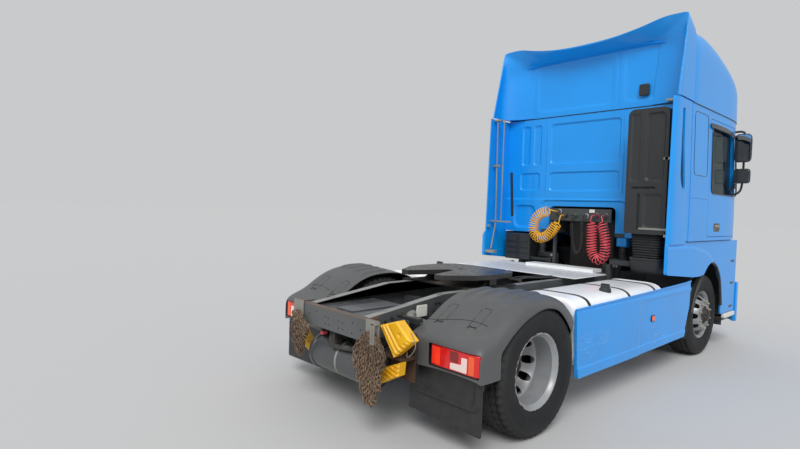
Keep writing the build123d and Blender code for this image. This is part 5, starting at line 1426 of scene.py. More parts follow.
def stacked(half_x, half_y, x, scale, z):
    """A closed loft of level rounded rectangles, with a scale and a height for each ring."""
    ring = superellipse(half_x, half_y, 56)
    ring = np.column_stack([ring, np.zeros(len(ring))])
    middles = np.column_stack([np.full_like(z, ahead(x)), np.full_like(z, intake_y), z])
    return tubular(ring[None] * scale[:, None, None] + middles[:, None])


fold_count, fold_share = 9, 0.045
fold_z = np.linspace(1.525, 1.258, fold_count * 8 + 1)
fold_scale = 1 + fold_share * np.cos(2 * np.pi * np.linspace(0.0, fold_count, len(fold_z)))
bellows = stacked(0.148, 0.178, 2.690, fold_scale * np.linspace(1.0, 0.86, len(fold_z)), fold_z)
piece("bellows", bellows, "rubber", body="cab")

bowl_z = np.array([1.246, 1.240, 1.225, 1.222, 1.205, 1.160, 1.110, 1.080, 1.066, 1.061])
bowl_scale = np.array([0.97, 1.0, 1.0, 0.965, 0.965, 0.955, 0.915, 0.85, 0.76, 0.6])
bowl_arm = (box_at((2.72, 2.80), (-0.76, -0.395), (1.120, 1.180), 0.01)
            + box_at((2.72, 2.80), (-0.455, -0.395), (0.88, 1.18), 0.01))
piece("filter_bowl", stacked(0.155, 0.185, 2.685, bowl_scale, bowl_z), "plastic", ["air_filter"])
piece("filter_arm", bowl_arm, "chassis", bevel=0.003)

# %% [markdown]
# The coupling panel carries the six sockets of the three lines. The caps' colours tell the air
# lines apart. Its two posts stand on the rails, and the cab's rear springs stand beside them.

# %% Coupling panel and cab springs
softened("coupling_panel", "chassis", 0.003)
softened("battery_box", "plastic", 0.008)
box_ribs = together([box_at((2.724, 2.732), (0.73, 1.07), (z, z + 0.012), 0.004) for z in (1.14, 1.22, 1.30)])
lid_strap = box_at((2.722, 2.732), (0.875, 0.915), (1.075, 1.405), 0.004)
piece("battery_box_ribs", box_ribs + lid_strap, "trim_black", bevel=0.002)


def socket_form(y, z):
    profile = [(0.0005, 2.731), (0.009, 2.731), (0.010, 2.738), (0.021, 2.740), (0.024, 2.746), (0.024, 2.766),
               (0.031, 2.768), (0.031, 2.779), (0.0005, 2.779)]
    return lathe([(radius, ahead(x)) for radius, x in profile], y, z, 24, axis="x")


# y, z, finish of each socket's cap
sockets = [(0.290, 1.750, "white_plastic"), (0.200, 1.700, "trim_black"), (0.060, 1.700, "green_plastic"),
           (-0.090, 1.700, "white_plastic"), (-0.230, 1.710, "red_hose"), (-0.350, 1.710, "pale_metal")]
for number, (y, z, colour) in enumerate(sockets):
    piece(f"socket_{number}", socket_form(y, z), colour, bevel=0.001)
plate_blank = box_at((2.772, 2.781), (-0.200, -0.130), (1.742, 1.784), 0.006, axis="x")
piece("blank_plate", plate_blank, "white_plastic", bevel=0.002)

leg_x, spring_sides = ahead(2.94), [0.630, -0.510]
spring_turns, spring_radius = 6, 0.047
coil_angle = np.linspace(0.0, 2 * np.pi * spring_turns, spring_turns * 16)
spring_rise = np.linspace(1.20, 1.385, len(coil_angle))
spring_coil = np.column_stack([spring_radius * np.cos(coil_angle), spring_radius * np.sin(coil_angle),
                               spring_rise])
coils = together([pipe(spring_coil + [leg_x, y, 0.0], 0.0075, 8) for y in spring_sides])
piece("cab_springs", coils, "dark_steel")
softened("cab_supports", "chassis", 0.004)
spring_caps = together([box_at((2.878, 2.995), (y - 0.07, y + 0.07), (1.335, 1.444), 0.03) for y in spring_sides])
piece("spring_caps", spring_caps, paint, bevel=0.01, body="cab")


def bolt_heads(places, radius, height, forward=(1.0, 0.0, 0.0)):
    """Hexagon heads with a washer at the places; a head stands along its own Y."""
    head = hexagon(radius, 0.0, height) + hexagon(radius * 1.35, 0.0, height * 0.2)
    return repeated(head, placed(places, forward))


print("pieces behind the cab made")

# %% [markdown]
# The closing beam and its two channel brackets keep the CAD shape; holes, edges and wear are
# added, and a black sheet inside the beam is painted shade at the bottom of the holes. A short
# table places the holes.

# %% Closing beam
beam_paint = used("beam_paint", linear(84, 86, 87), 0.5, 0.0, 0.1, 260.0, 0.0002, 0.1, 0.25, 0.15)
rust = beam_paint.noise(40.0, 6.0).ramp(0.35, 0.6) * beam_paint.height.ramp(0.872, 0.884)
beam_paint.feed(base_color=beam_paint.mix(rust, beam_paint.dusty, linear(118, 84, 60)))
rear_face_x = ahead(-1.052)
beam_holes = [(0.235, 0.840), (0.339, 0.803), (0.113, 0.814), (0.068, 0.808), (0.110, 0.760), (0.055, 0.757),
              (-0.075, 0.812), (-0.128, 0.806), (-0.078, 0.757), (-0.130, 0.754), (-0.252, 0.830), (-0.355, 0.795),
              (-0.248, 0.751)]
round_hole = lathe([(0.0005, -0.02), (0.0075, -0.02), (0.0075, 0.02), (0.0005, 0.02)], 0.0, 0.0, 12, axis="x")
hole_cutters = repeated(round_hole, placed([(rear_face_x, y, z) for y, z in beam_holes]))
bracket_depth = box_at((-1.040, -0.90), (0.434, 0.62), (0.70, 0.93))
softened("rear_beam", beam_paint, 0.003, cuts=[hole_cutters, bracket_depth.both()])
# A black sheet just behind the beam's rear face: painted shade seen through the holes.
beam_shade_sheet = block((rear_face_x + 0.0085, rear_face_x + 0.0095), (-0.38, 0.38), (0.735, 0.86))
piece("beam_painted_shade", beam_shade_sheet, "trim_black")

# %% [markdown]
# Two bundles of snow chain hang over the brackets. One link is a bent ring: its middle line is
# x = a cos u, z = b sin u, and the wire is round. Links are set along a path a pitch apart, each a
# quarter turn from the last plus a little seeded twist. Every strand goes down and comes up again,
# as a chain that is hung up double does.

# %% Snow chains
link_half_width, link_half_length, link_wire, link_pitch = 0.0125, 0.0220, 0.0042, 0.0335
shuffle = np.random.default_rng(7)


def link_form(corners=10, sides=5):
    u = np.linspace(0.0, 2 * np.pi, corners, endpoint=False)[:, None]
    v = np.linspace(0.0, 2 * np.pi, sides, endpoint=False)[None, :]
    way = np.stack([link_half_length * np.cos(u), link_half_width * np.sin(u)])
    way = way / np.linalg.norm(way, axis=0)
    x = link_half_width * np.cos(u) + link_wire * np.cos(v) * way[0]
    z = link_half_length * np.sin(u) + link_wire * np.cos(v) * way[1]
    y = np.broadcast_to(link_wire * np.sin(v), x.shape)
    return surface(np.stack([x, y, z], axis=-1), wrap_rows=True, wrap_columns=True)


def chained(path):
    """Matrices for links a pitch apart along the path."""
    place = np.arange(link_pitch / 2, run_length(path), link_pitch)
    centre = points_along(path, place)
    tangent = unit(np.gradient(centre, axis=0))
    side = unit(np.cross(tangent, [0.25, 1.0, 0.1]))
    angle = (np.pi / 2 * np.arange(len(place)) + np.cumsum(shuffle.normal(0.0, 0.16, len(place))))[:, None]
    link_x = np.cos(angle) * side + np.sin(angle) * np.cross(tangent, side)
    turn = np.stack([link_x, np.cross(tangent, link_x), tangent], axis=2)
    return np.concatenate([turn, centre[:, :, None]], axis=2)


def strand(side, top_y, y, bottom_z, x):
    """Down at one side of y and up at the other, bunched at the top under the bracket's hook."""
    sway = shuffle.uniform(-0.006, 0.006, 4)
    middle_z = (0.80 + bottom_z) / 2
    down = [(x, top_y - 0.006, 0.800), (x, (top_y + y) / 2 + sway[0], 0.750),
            (x + sway[1] / 2, y - 0.012 + sway[2], middle_z), (x, y - 0.011, bottom_z + 0.035)]
    up = [(x, y + 0.011, bottom_z + 0.035), (x + sway[3] / 2, y + 0.012 - sway[0], middle_z),
          (x, (top_y + y) / 2 + 0.012, 0.750), (x, top_y + 0.006, 0.800)]
    path = eased(np.array(down + [(x, y, bottom_z + 0.016)] + up), 10)
    return chained(path * [1.0, side, 1.0])


# side, places of the strands as (distance from the middle, lowest z)
bundle_rows = [
    (-1, [(0.350, 0.520), (0.392, 0.430), (0.435, 0.345), (0.478, 0.290), (0.522, 0.280), (0.565, 0.305),
          (0.605, 0.400), (0.640, 0.560)]),
    (1, [(0.345, 0.610), (0.388, 0.490), (0.430, 0.420), (0.472, 0.440), (0.512, 0.520), (0.552, 0.610)])]
chain_steel = used("chain_steel", linear(128, 110, 92), 0.5, 0.3, 0.0, 200.0, 0.0004, 0.3, 0.15, 0.1)
chain_rust = chain_steel.noise(55.0, 4.0).ramp(0.42, 0.62)
chain_steel.feed(base_color=chain_steel.mix(chain_rust * 0.8, chain_steel.tone, linear(92, 64, 44)))
link = link_form()
for side, rows in bundle_rows:
    tops = np.linspace(0.462, 0.545 if side < 0 else 0.520, len(rows))
    strands = [strand(side, top, y, bottom, ahead(-1.0583) + depth)
               for (y, bottom), top in zip(rows, tops) for depth in (-0.014, -0.030)]
    bundle = repeated(link, np.concatenate(strands))
    piece(f"chain_bundle_{'right' if side < 0 else 'left'}", bundle, chain_steel,
          ["chain_bundles"] if side < 0 else [], closed=False)
    print("chain links on one side:", len(bundle.points) // len(link.points))
bracket_face = box_at((-1.0615, -1.0565), (0.424, 0.575), (0.740, 0.898), 0.006, axis="x")
piece("bracket_faces", bracket_face.both(), "pale_metal", bevel=0.002)
hook_plate = (box_at((-1.105, -1.099), (0.528, 0.574), (0.735, 0.884), 0.006, axis="x")
              + box_at((-1.105, -1.052), (0.528, 0.574), (0.876, 0.884), 0.004))
piece("chain_hooks", hook_plate.mirrored(), "pale_metal", bevel=0.001,
      cuts=[box_at((-1.12, -1.09), (-0.556, -0.546), (0.760, 0.860), 0.004, axis="x")])

# %% [markdown]
# A wheel chock is a moulded wedge, seen from the side that carries its ribs. Its face is a grid
# between four corners; the depth over the grid is a few flutes along one side of the wedge and a
# rounding at all four edges: d = r (1 - s(distance to the edge)).

# %% Wheel chocks
chock_back_x, chock_front_x = ahead(-0.975), ahead(-0.890)
chock_rounding, flute_depth, notch_depth, rib_depth = 0.014, 0.013, 0.012, 0.012


def chock_form(corners, side, relief, columns=57, rows=33):
    """Corners as (distance from the middle, z): top left, top right, bottom right, bottom left."""
    a, b, c, d = (np.array([side * y, z]) for y, z in corners)
    s, t = np.meshgrid(np.linspace(0.0, 1.0, columns), np.linspace(0.0, 1.0, rows))
    s, t = s[..., None], t[..., None]
    plane = (1 - t) * ((1 - s) * a + s * b) + t * ((1 - s) * d + s * c)
    edge = np.minimum(np.minimum(s, 1 - s), np.minimum(t, 1 - t))[..., 0]
    depth = chock_rounding * (1 - step_in(edge, 0.06)) + relief(s[..., 0], t[..., 0])
    outer = np.stack([chock_back_x + depth, plane[..., 0], plane[..., 1]], axis=-1)
    inner = np.stack([np.full_like(depth, chock_front_x), plane[..., 0], plane[..., 1]], axis=-1)
    return walled(outer, inner)


def fluted(s, t):
    """Three flutes over the first half, a plain field with a dent, and notches at the foot."""
    flutes = flute_depth * (0.5 - 0.5 * np.cos(2 * np.pi * 3 * np.clip(s / 0.55, 0.0, 1.0)))
    dent = 0.010 * step_in(0.10 - np.hypot(s - 0.74, t - 0.55), 0.06)
    notches = notch_depth * step_in(t - 0.86, 0.05) * (0.5 - 0.5 * np.cos(2 * np.pi * 5 * s))
    return flutes + dent + notches


def latticed(s, t):
    """Two sets of ribs that cross, as on the underside of a chock."""
    cross = np.minimum(np.abs(np.sin(np.pi * (4 * s + 3 * t))), np.abs(np.sin(np.pi * (4 * s - 3 * t))))
    return rib_depth * step_in(cross, 0.5)


# side, corners, relief
chock_rows = [
    (-1, [(0.470, 0.845), (0.655, 0.908), (0.812, 0.790), (0.630, 0.640)], fluted),
    (-1, [(0.500, 0.530), (0.690, 0.615), (0.680, 0.515), (0.495, 0.415)], latticed),
    (1, [(0.450, 0.500), (0.640, 0.640), (0.700, 0.560), (0.480, 0.440)], fluted)]
chocks = together([chock_form(corners, side, relief) for side, corners, relief in chock_rows])
piece("chocks", chocks, "yellow_plastic", ["wheel_chocks"])
holder = (box_at((-0.925, -0.79), (0.430, 0.690), (0.612, 0.632), 0.006)
          + box_at((-0.79, -0.775), (0.400, 0.680), (0.430, 0.80), 0.01, axis="x"))
piece("chock_holder", holder.mirrored(), "rust_iron", bevel=0.002)
bail = path_at([(-0.90, -0.735, 0.840), (-0.94, -0.800, 0.825), (-0.945, -0.835, 0.765),
                (-0.945, -0.800, 0.700), (-0.94, -0.750, 0.668), (-0.90, -0.705, 0.690)], 6)
piece("chock_bail", pipe(bail, 0.003, 8), "pale_metal")

# %% [markdown]
# The rest of the frame is mostly the CAD shape with its edges softened. The rails are painted
# grey, and their top flanges are painted paler in patches, which is painted light from above mixed
# with wear; the cross members are darker, and the axles, engine, gearbox and knuckles look cast.

# %% Frame
rail_paint = used("rail_paint", linear(74, 77, 79), 0.5, 0.0, 0.15, 260.0, 0.0002, 0.12, 0.3, 0.35)
# Top flanges painted paler where they face up: painted light from above, mixed with patchy wear.
lit_and_worn_flange = rail_paint.facing[2].ramp(0.6, 0.95) * rail_paint.noise(6.0, 5.0).ramp(0.2, 0.55)
rail_paint.feed(base_color=rail_paint.mix(lit_and_worn_flange * 0.85, rail_paint.dusty, linear(150, 150, 146)))
softened("frame_rails", rail_paint, 0.004)
for node in ("rear_axle", "front_axle", "engine", "gearbox", "fifth_wheel_base"):
    softened(node, "cast", 0.004)
for side in ("left", "right"):
    softened(f"knuckle_{side}", "cast", 0.003, f"knuckle_{side}")
softened("frame_members", "cover_paint", 0.003)
softened("rear_air_tank", "air_tank_paint", 0.003)
tank_band = lathe([(0.1425, -0.012), (0.1432, -0.012), (0.1432, 0.012), (0.1425, 0.012)],
                  ahead(-0.880), 0.468, 60, closed=True)
piece("air_tank_band", tank_band, "pale_metal")

# x ahead of the rear axle and z of the bolts in each rail's web
web_bolts = [(-0.909, 0.839), (-0.845, 0.841), (-0.787, 0.864), (-0.720, 0.866), (-0.667, 0.880), (-0.309, 0.866),
             (-0.290, 0.934), (-0.246, 0.935)]
web_bolts += [(x, z) for x in (0.17, 0.25, 0.71, 0.79, 1.10, 1.18, 2.04, 2.12, 2.90, 2.98) for z in (0.80, 0.92)]
heads = bolt_heads([(ahead(x), 0.395, z) for x, z in web_bolts], 0.012, 0.011)
piece("web_bolts", heads.both(), "cast")
four_heads = bolt_heads([(ahead(2.90), side * 0.435 + y, z) for side in (-1, 1) for y in (-0.019, 0.019)
                         for z in (1.085, 1.150)], 0.013, 0.012, (0.0, 1.0, 0.0))
piece("bright_bolts", four_heads, "bright_metal")
softened("air_springs", "rubber", 0.012)

# %% [markdown]
# Air and brake fittings show at the tail: an elbow with its pale plate on the right rail, and a
# bent pipe over the air tank.

# %% Fittings at the tail
elbow = path_at([(-0.560, -0.405, 0.875), (-0.620, -0.430, 0.868), (-0.640, -0.480, 0.855),
                 (-0.570, -0.490, 0.828), (-0.490, -0.500, 0.795)], 8)
piece("rail_elbow", pipe(elbow, 0.031, 18), "pale_metal", bevel=0.002)
elbow_plate = (box_at((-0.547, -0.43), (-0.436, -0.428), (0.848, 0.942), 0.012, axis="y")
               + box_at((-0.52, -0.46), (-0.43, -0.394), (0.86, 0.90), 0.006))
piece("elbow_plate", elbow_plate, "white_plastic", bevel=0.002)
tail_pipe = path_at([(-0.90, 0.124, 0.715), (-0.96, 0.124, 0.665), (-0.985, 0.105, 0.605), (-1.000, 0.030, 0.586),
                     (-1.000, -0.100, 0.598), (-0.985, -0.260, 0.622), (-0.930, -0.330, 0.670)], 8)
piece("tail_pipe", pipe(tail_pipe, 0.021, 16), "plastic")
clamp = box_at((-1.022, -0.94), (0.015, 0.05), (0.560, 0.72), 0.012, axis="y")
piece("pipe_clamp", clamp, "cast", bevel=0.004)
red_cap = lathe([(0.0005, -0.030), (0.014, -0.030), (0.017, -0.024), (0.017, 0.02), (0.0005, 0.02)],
                0.0, 0.0, 16, axis="x")
piece("red_cap", red_cap.moved(ahead(-0.97), 0.232, 0.652), "red_hose")
lamp_plug = lathe([(0.0005, -0.02), (0.013, -0.02), (0.016, -0.012), (0.016, 0.03), (0.0005, 0.03)],
                  0.0, 0.0, 16, axis="x")
piece("lamp_plug", lamp_plug.moved(ahead(-0.745), 1.129, 0.575), "blue_plug")
print("the tail made")

# %% [markdown]
# The fifth wheel's plate is flat where the trailer rests, and its two rear ramps bend down a
# little. Grease and road dirt cover it, with worn patches of bare brown metal where a trailer's
# plate has slid.

# %% Fifth wheel
greasy = used("greasy_plate", linear(62, 62, 60), 0.42, 0.35, 0.0, 90.0, 0.0012, 0.25, 0.12, 0.1)
slid = greasy.noise(5.0, 6.0).ramp(0.48, 0.62) * greasy.facing[2].ramp(0.7, 0.95)
grit = greasy.noise(70.0, 6.0).ramp(0.5, 0.7)
bare = greasy.mix(slid, greasy.tone, linear(98, 92, 84))
greasy.feed(base_color=greasy.mix(grit * 0.6, bare, linear(36, 36, 35)),
            roughness=slid * 0.15 + grit * 0.25 + 0.34)
softened("fifth_wheel_plate", greasy, 0.006, "fifth_wheel")
pull_handle = path_at([(0.62, -0.30, 1.085), (0.66, -0.42, 1.080), (0.66, -0.56, 1.075), (0.64, -0.60, 1.072),
                       (0.60, -0.60, 1.072)], 6)
piece("release_handle", pipe(pull_handle, 0.009, 10), "cast", body="fifth_wheel")
lock_bars = together([box_at((0.84, 0.97), (y, y + 0.030), (1.040, 1.090), 0.008)
                      for y in (-0.24, -0.10, 0.03, 0.17)])
cross_bar = box_at((0.86, 0.90), (-0.30, 0.26), (1.030, 1.060), 0.01)
piece("lock_bars", lock_bars + cross_bar, "old_grease", bevel=0.005, body="fifth_wheel")
# y, z and bow of each pipe that runs forward between the coupling and the walkway
lines_forward = [(-0.33, 1.025, 0.03), (-0.29, 1.030, -0.02), (-0.24, 1.022, 0.04), (0.26, 1.026, -0.03),
                 (0.31, 1.022, 0.02)]
air_pipes = together([
    pipe(path_at([(0.98, y, z), (1.16, y + bow, z + 0.012), (1.40, y - bow / 2, z + 0.006), (1.72, y, z - 0.010)]),
         0.009, 8) for y, z, bow in lines_forward])
piece("frame_pipes", air_pipes, "plastic")

# %% [markdown]
# The walkway is white sheet metal, punched with rows of raised anti-slip dots. The dots are a
# product of two sine waves, masked to the walked-on part; real ones would cost a million faces.
# Each dot is also painted dark grey, which is painted shade for its punched hole.

# %% Walkway
walk_white = used("walkway_white", linear(234, 236, 237), 0.38, 0.0, 0.15, 220.0, 0.0001, 0.04, 0.16, 0.0)
dot_pitch = 0.052
dot_rate = 2 * math.pi / dot_pitch
dot_rows = (walk_white.east.wave(dot_rate) * walk_white.north.wave(dot_rate)).math("ABSOLUTE")
field = (walk_white.facing[2].ramp(0.9, 0.98) * walk_white.height.ramp(1.045, 1.035)
         * walk_white.east.between(ahead(1.72), ahead(2.40), 0.04))
dots = dot_rows.ramp(0.5, 0.75) * field
walk_paint = walk_white.mix(walk_white.mask, walk_white.tone, linear(150, 146, 138))
# The dots are painted dark grey: painted shade in the punched holes.
walk_white.feed(base_color=walk_white.mix(dots * 0.8, walk_paint, linear(108, 110, 112)),
                normal=walk_white.bump(dots, 0.003, 0.8))
softened("catwalk", walk_white, 0.002)

# %% [markdown]
# The painted wings are sheets with a soft flare. Step boxes, arch liners and bumper are softened
# copies of the CAD shapes; the dark arch band, the corner slots and the step plates are added.

# %% Wings, steps and bumper
wing_outline = [(2.375, 1.100), (2.375, 1.440), (3.350, 1.440), (4.890, 1.440), (4.890, 0.465), (4.315, 0.465),
                (4.302, 0.592), (4.265, 0.780), (4.200, 0.930), (4.075, 1.085), (3.950, 1.150), (3.810, 1.181),
                (3.680, 1.140), (3.542, 1.040), (3.400, 1.025), (3.170, 1.030)]
wing_x, wing_z = np.meshgrid(np.linspace(2.36, 4.90, 128), np.linspace(0.45, 1.45, 72))
wing_face_y, flare_proud, flare_length, flare_height = 1.226, 0.018, 1.72, 0.605
flare_level = (np.abs(wing_x - 2.36) / flare_length) ** 3 + (np.clip(wing_z - 0.80, 0.0, 1.0) / flare_height) ** 3
wing_y = wing_face_y + flare_proud * step_in(1.02 - flare_level, 0.11)
wing_sheet = np.stack([ahead(wing_x), wing_y, wing_z], axis=-1)
wing_back = np.stack([ahead(wing_x), np.full_like(wing_y, 1.207), wing_z], axis=-1)
wing_edge = outline_at(wing_outline, 0.03, 3)
piece("wing_skins", walled(wing_sheet, wing_back).both(), paint, ["front_wings"], bevel=0.003,
      keep=slab(wing_edge, 1.19, 1.27).both())
corner_slots = together([box_at((4.66, 4.80), (1.222, 1.2285), (z, z + 0.030), 0.008, axis="y")
                         for z in (0.52, 0.84, 1.14)])
piece("corner_slots", corner_slots.both(), "trim_black", bevel=0.002)
softened("step_boxes", "plastic", 0.004)
softened("arch_liners", "plastic", 0.003)
softened("bumper", paint, 0.012)
arch_points = [(3.224, 0.605), (3.340, 0.830), (3.542, 1.040), (3.680, 1.140), (3.810, 1.181), (3.950, 1.150),
               (4.075, 1.085), (4.200, 0.930), (4.302, 0.592)]
arch_run = path_at([(x, wing_face_y, z) for x, z in arch_points], 6)
piece("arch_bands", pipe(arch_run, 0.018, 10).both(), "plastic")
foot_step = box_at((4.44, 4.88), (1.04, 1.243), (0.395, 0.455), 0.02, axis="y", steps=4)
piece("foot_steps", foot_step.both(), "white_plastic", bevel=0.006)
fog_form = box_at((5.150, 5.184), (0.72, 0.93), (0.44, 0.54), 0.03, axis="x", steps=5)
lower_grille = box_at((5.165, 5.176), (-0.60, 0.60), (0.34, 0.40), 0.01, axis="x")
piece("bumper_insert", lower_grille, "trim_black", bevel=0.003)

# %% [markdown]
# Glass is thin and almost clear, so it mixes a transparent shader with a glossy one, and is a
# little glossier where it is smeared. Lamps get a ribbed and partly metallic finish, which stands
# for a lens over a reflector.

# %% Glass and lamps
glass = Finish("glass", {"Roughness": 0.04, "Metallic": 0.0})
smear = glass.noise(4.0, 5.0).ramp(0.3, 0.8)
see_through = glass.node("ShaderNodeBsdfTransparent", values={"Color": (0.62, 0.68, 0.68, 1.0)})
glossy = Value(glass, glass.shader.outputs[0])
blend = glass.node("ShaderNodeMixShader", values=[smear * 0.10 + 0.24, see_through, glossy])
output = next(node for node in glass.tree.nodes if node.type == "OUTPUT_MATERIAL")
glass.tree.links.new(blend.socket, output.inputs["Surface"])
glass.feed(base_color=glass.mix(smear, linear(34, 42, 46), linear(48, 54, 56)))
softened("windscreen", glass, 0.0, "cab")
for side in ("left", "right"):
    softened(f"window_{side}", glass, 0.0, f"door_{side}")
lamp_glass = used("lamp_glass", linear(214, 220, 224), 0.12, 0.35, 0.9, 400.0, 0.0, 0.06, 0.05, 0.05)
lamp_glass.feed(normal=lamp_glass.bump(lamp_glass.north.wave(420.0), 0.0012, 0.8))
softened("headlamps", lamp_glass, 0.012)
piece("fog_lamps", fog_form.both(), lamp_glass, bevel=0.006)

# %% [markdown]
# The door side carries a recessed handle, a thin rubber frame round the window, a wind deflector
# above it, and the mirror set on a bent tube. Each is made for the left and mirrored for the right.

# %% Doors and mirrors
def on_flank(outline, height):
    """An (x, z) outline laid on the cab's side, closed by its first two points."""
    run = np.column_stack([outline[:, 0], cab_half_width(outline[:, 1]) + height, outline[:, 1]])
    return np.vstack([run, run[:2]])


crown_run = path_at([(3.55, 1.236, 2.875), (3.75, 1.243, 2.880), (4.15, 1.243, 2.878), (4.45, 1.238, 2.850)], 6)
deflector_section = np.array([(0.0, 0.006, 0.0), (0.0, 0.010, -0.055), (0.0, 0.006, -0.056), (0.0, 0.001, -0.002)])
deflector = crown_run[:, None] + deflector_section
arm_run = path_at([(4.58, 1.225, 2.165), (4.58, 1.195, 2.10), (4.585, 1.215, 2.062), (4.59, 1.290, 2.085),
                   (4.59, 1.325, 2.20), (4.59, 1.332, 2.55), (4.59, 1.330, 2.84), (4.59, 1.300, 2.893),
                   (4.60, 1.215, 2.898)], 8)


mirror_x, mirror_y = ahead(4.580), 1.330


def mirror_shell(y, z, half_y, half_z):
    """A rounded housing: flat glass side to the rear, a crowned back to the front."""
    depth = np.array([-0.050, -0.052, -0.040, -0.010, 0.025, 0.045, 0.050])
    size = np.array([0.90, 1.0, 1.0, 0.97, 0.86, 0.66, 0.40])
    section = superellipse(half_y, half_z, 44, 6.0)
    across, upwards = size[:, None] * section[:, 0], size[:, None] * section[:, 1]
    back = np.broadcast_to((mirror_x + depth)[:, None], across.shape)
    return tubular(np.stack([back, y + across, z + upwards], axis=-1))


window_rubber = pipe(on_flank(window_edge, 0.001), 0.009, 8)
shells = mirror_shell(mirror_y, 2.670, 0.098, 0.188) + mirror_shell(mirror_y, 2.300, 0.095, 0.098)
mirror_faces = (box_at((4.524, 4.530), (1.242, 1.418), (2.495, 2.845), 0.03, axis="x", steps=5)
                + box_at((4.524, 4.530), (1.245, 1.415), (2.215, 2.385), 0.03, axis="x", steps=5))
mirror_foot = box_at((4.545, 4.615), (1.238, 1.252), (2.135, 2.205), 0.02, axis="y", steps=4)
handle_pan = box_at((3.80, 4.03), (1.2385, 1.2475), (1.560, 1.665), 0.04, axis="y", steps=5)
handle_bar = box_at((3.825, 4.005), (1.2455, 1.2565), (1.615, 1.645), 0.012, axis="y", steps=4)
lock_dot = box_at((3.815, 3.843), (1.2455, 1.2505), (1.578, 1.604), 0.012, axis="y", steps=5)
for side in ("left", "right"):
    body = f"door_{side}"
    piece(f"window_rubber_{side}", window_rubber.sided(side), "trim_black", body=body)
    piece(f"wind_deflector_{side}", tubular(deflector).sided(side), "trim_black", body=body)
    piece(f"mirror_arm_{side}", pipe(arm_run, 0.014, 12).sided(side), "plastic", body=body)
    piece(f"mirror_shells_{side}", (shells + mirror_foot).sided(side), "plastic", [f"mirrors_{side}"],
          bevel=0.004, body=body)
    piece(f"mirror_faces_{side}", mirror_faces.sided(side), "mirror_glass", bevel=0.001, body=body)
    piece(f"handle_pan_{side}", handle_pan.sided(side), "trim_black", bevel=0.002, body=body)
    piece(f"handle_bar_{side}", (handle_bar + lock_dot).sided(side), "pale_metal", bevel=0.002, body=body)

# %% [markdown]
# Feature lines of the cab's flank: a crease along the belt, and an outlined locker lid behind
# the door.

# %% Flank lines
belt_z = 1.955
belt = [(ahead(x), float(cab_half_width(belt_z)) + 0.0005, belt_z) for x in (2.96, 3.5, 3.555)]
belt_form = pipe(eased(belt, 4), 0.005, 6)
locker = outline_at([(3.03, 2.22), (3.48, 2.22), (3.48, 2.95), (3.03, 2.95)], 0.07, 5)
locker_form = pipe(on_flank(locker, 0.0004), 0.0035, 6)
piece("flank_belts", belt_form.both(), paint, body="cab")
piece("locker_lines", locker_form.both(), "trim_black", body="cab")
softened("sun_visor", "trim_black", 0.006, "cab")

# %% [markdown]
# The lid under the windscreen holds four broad slots with dark mesh behind. Two wipers park over
# it, along the glass.

# %% Lid and wipers
softened("grille_lid", paint, 0.004, "grille_lid")
slot_bars = together([box_at((5.126, 5.140), (-0.70, 0.70), (z + low, z + low + 0.010), 0.003)
                      for z in (1.01, 1.19, 1.37, 1.55) for low in (0.018, 0.040, 0.062)])
slot_backing = box_at((5.108, 5.116), (-0.72, 0.72), (0.99, 1.66), 0.01, axis="x")
piece("lid_mesh", slot_bars + slot_backing, "trim_black", bevel=0.002, body="grille_lid")
wiper_arms = together([
    pipe(path_at([(5.150, y, 1.935), (5.166, y - 0.18, 1.985), (5.160, y - 0.42, 2.035)], 6), 0.008, 8)
    for y in (0.80, 0.15)])
blades = together([box_at((5.140, 5.152), (y - 0.72, y - 0.10), (2.02, 2.04), 0.006) for y in (0.80, 0.15)])
piece("wipers", wiper_arms + blades, "trim_black", bevel=0.002, body="cab")

# %% [markdown]
# Inside, only what shows through the glass is worked out: two seats with crowned cushions, the
# bunk and the dashboard. The cushions are a subdivided cage whose faces crown and
# whose sides pull in between the corners.

# %% Inside the cab
softened("cab_floor", "inside_grey", 0.006, "cab")
seat_cloth = used("seat_cloth", linear(58, 60, 66), 0.9, 0.0, 0.0, 1400.0, 0.0006, 0.1, 0.0, 0.0)
weave = seat_cloth.north.wave(900.0) * seat_cloth.east.wave(900.0)
seat_cloth.feed(normal=seat_cloth.bump(weave, 0.0005),
                base_color=seat_cloth.mix(weave.ramp(0.1, 0.9), seat_cloth.tone, linear(74, 76, 84)))


def cushion(x, y, z, crown=0.018, waist=0.012, count=17):
    """A crowned closed form: thickness t(u, v) = h (1 + c u'v'), with sides pulled in between corners."""
    ends = np.array([x, y, z])
    centre, half = ends.mean(axis=1), (ends[:, 1] - ends[:, 0]) / 2
    line = np.sin(np.linspace(-np.pi / 2, np.pi / 2, count))
    u, v = np.meshgrid(line, line)
    dome = (1 - u ** 2) * (1 - v ** 2)
    pull = 1 - waist / half[:2].min() * (1 - (u * v) ** 2) * np.maximum(np.abs(u), np.abs(v)) ** 6
    edge = np.maximum(np.abs(u), np.abs(v)) ** 10
    height = (half[2] - crown) * (1 - 0.45 * edge) + crown * dome
    level = [centre[0] + half[0] * u * pull, centre[1] + half[1] * v * pull]
    return walled(*[np.stack([*level, centre[2] + rise], axis=-1) for rise in (height, -0.9 * height)])


def padded(name, form, fill):
    thing = piece(name, form, seat_cloth, angle=math.radians(80), body="cab")
    smooth = thing.modifiers.new("smooth", "SUBSURF")
    smooth.levels = smooth.render_levels = 1
    applied(thing)
    thing.data.shade_smooth()
    return thing


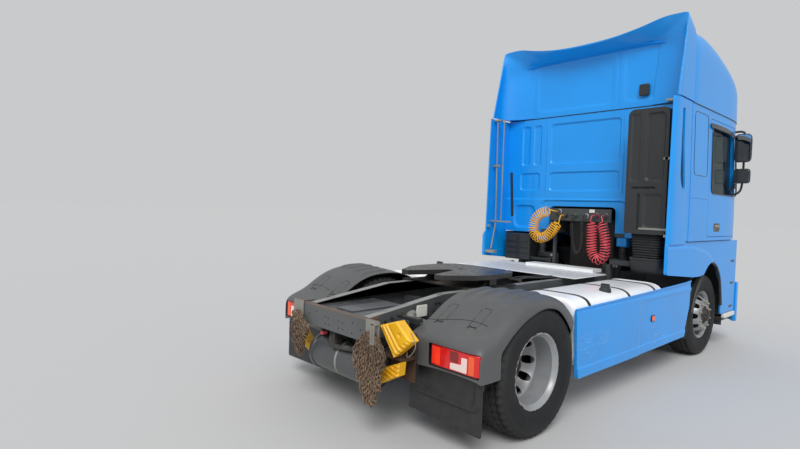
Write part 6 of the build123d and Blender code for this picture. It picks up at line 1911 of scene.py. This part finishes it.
for side in (1, -1):
    tag = "left" if side > 0 else "right"
    y = sorted((side * 0.56, side * 1.04))
    padded(f"seat_pad_{tag}", cushion((ahead(3.78), ahead(4.28)), y, (1.80, 1.95)), 0.7)
    back = cushion((1.95, 2.62), y, (-0.07, 0.07))
    height, across, depth = back.points.T
    padded(f"seat_back_{tag}", Form(np.column_stack([ahead(3.770) - depth, across, height]), back.faces), 0.7)
padded("bunk", cushion((ahead(2.94), ahead(3.56)), (-1.15, 1.15), (1.90, 2.09), 0.012, 0.01, 25), 0.6)
plinths = box_at((3.86, 4.16), (0.66, 0.94), (1.50, 1.80), 0.03).both()
base_box = box_at((2.94, 3.54), (-1.14, 1.14), (1.87, 1.915), 0.01)
piece("seat_bases", plinths + base_box, "inside_grey", ["seats"], bevel=0.006, body="cab")
softened("dashboard", "inside_grey", 0.012, "cab")
print("details made")

# %% [markdown]
# The stage is a plain pale floor that runs to the horizon. An even pale dome is one huge soft lamp
# that does most of the work, and one sun with a very wide disc, high behind the camera, gives the
# forms their shading.
# A sun falls off nowhere, so the floor stays as pale in the distance as it is close by.

# %% Stage and light
floor_tone, sky_light, sky_seen = 0.55, 0.62, 0.60
sun_strength, sun_disc, sun_tilt, sun_turn = 2.1, 28, 46, -52
floor_reach = 150.0
corners = [(-floor_reach, -floor_reach, 0), (floor_reach, -floor_reach, 0), (floor_reach, floor_reach, 0),
           (-floor_reach, floor_reach, 0)]
floor = shown("floor", mesh_of("floor", Form(corners, [[[0, 1, 2, 3]]])))
ground = Finish("floor", {"Roughness": 0.9, "Specular IOR Level": 0.2})
stones = ground.noise(260.0, 2.0).ramp(0.3, 0.7)
ground.feed(base_color=ground.mix(stones, (floor_tone * 0.98,) * 3 + (1.0,), (floor_tone * 1.02,) * 3 + (1.0,)))
floor.data.materials.append(ground.material)

sky = bpy.data.worlds.new("sky")
bpy.context.scene.world = sky
sky.use_nodes = True
background = sky.node_tree.nodes["Background"]
background.inputs["Color"].default_value = (0.97, 0.985, 1.0, 1.0)
ray = sky.node_tree.nodes.new("ShaderNodeLightPath")
seen = sky.node_tree.nodes.new("ShaderNodeMath")
seen.operation = "MAXIMUM"
sky.node_tree.links.new(ray.outputs["Is Camera Ray"], seen.inputs[0])
sky.node_tree.links.new(ray.outputs["Is Transmission Ray"], seen.inputs[1])
reach = sky.node_tree.nodes.new("ShaderNodeMapRange")
reach.inputs["To Min"].default_value = sky_light
reach.inputs["To Max"].default_value = sky_seen
sky.node_tree.links.new(seen.outputs[0], reach.inputs["Value"])
sky.node_tree.links.new(reach.outputs[0], background.inputs["Strength"])

sun = bpy.data.objects.new("sun", bpy.data.lights.new("sun", "SUN"))
sun.data.energy, sun.data.angle = sun_strength, math.radians(sun_disc)
sun.rotation_euler = (math.radians(sun_tilt), 0.0, math.radians(sun_turn))
bpy.context.scene.collection.objects.link(sun)
bpy.context.scene.view_settings.view_transform = "Standard"
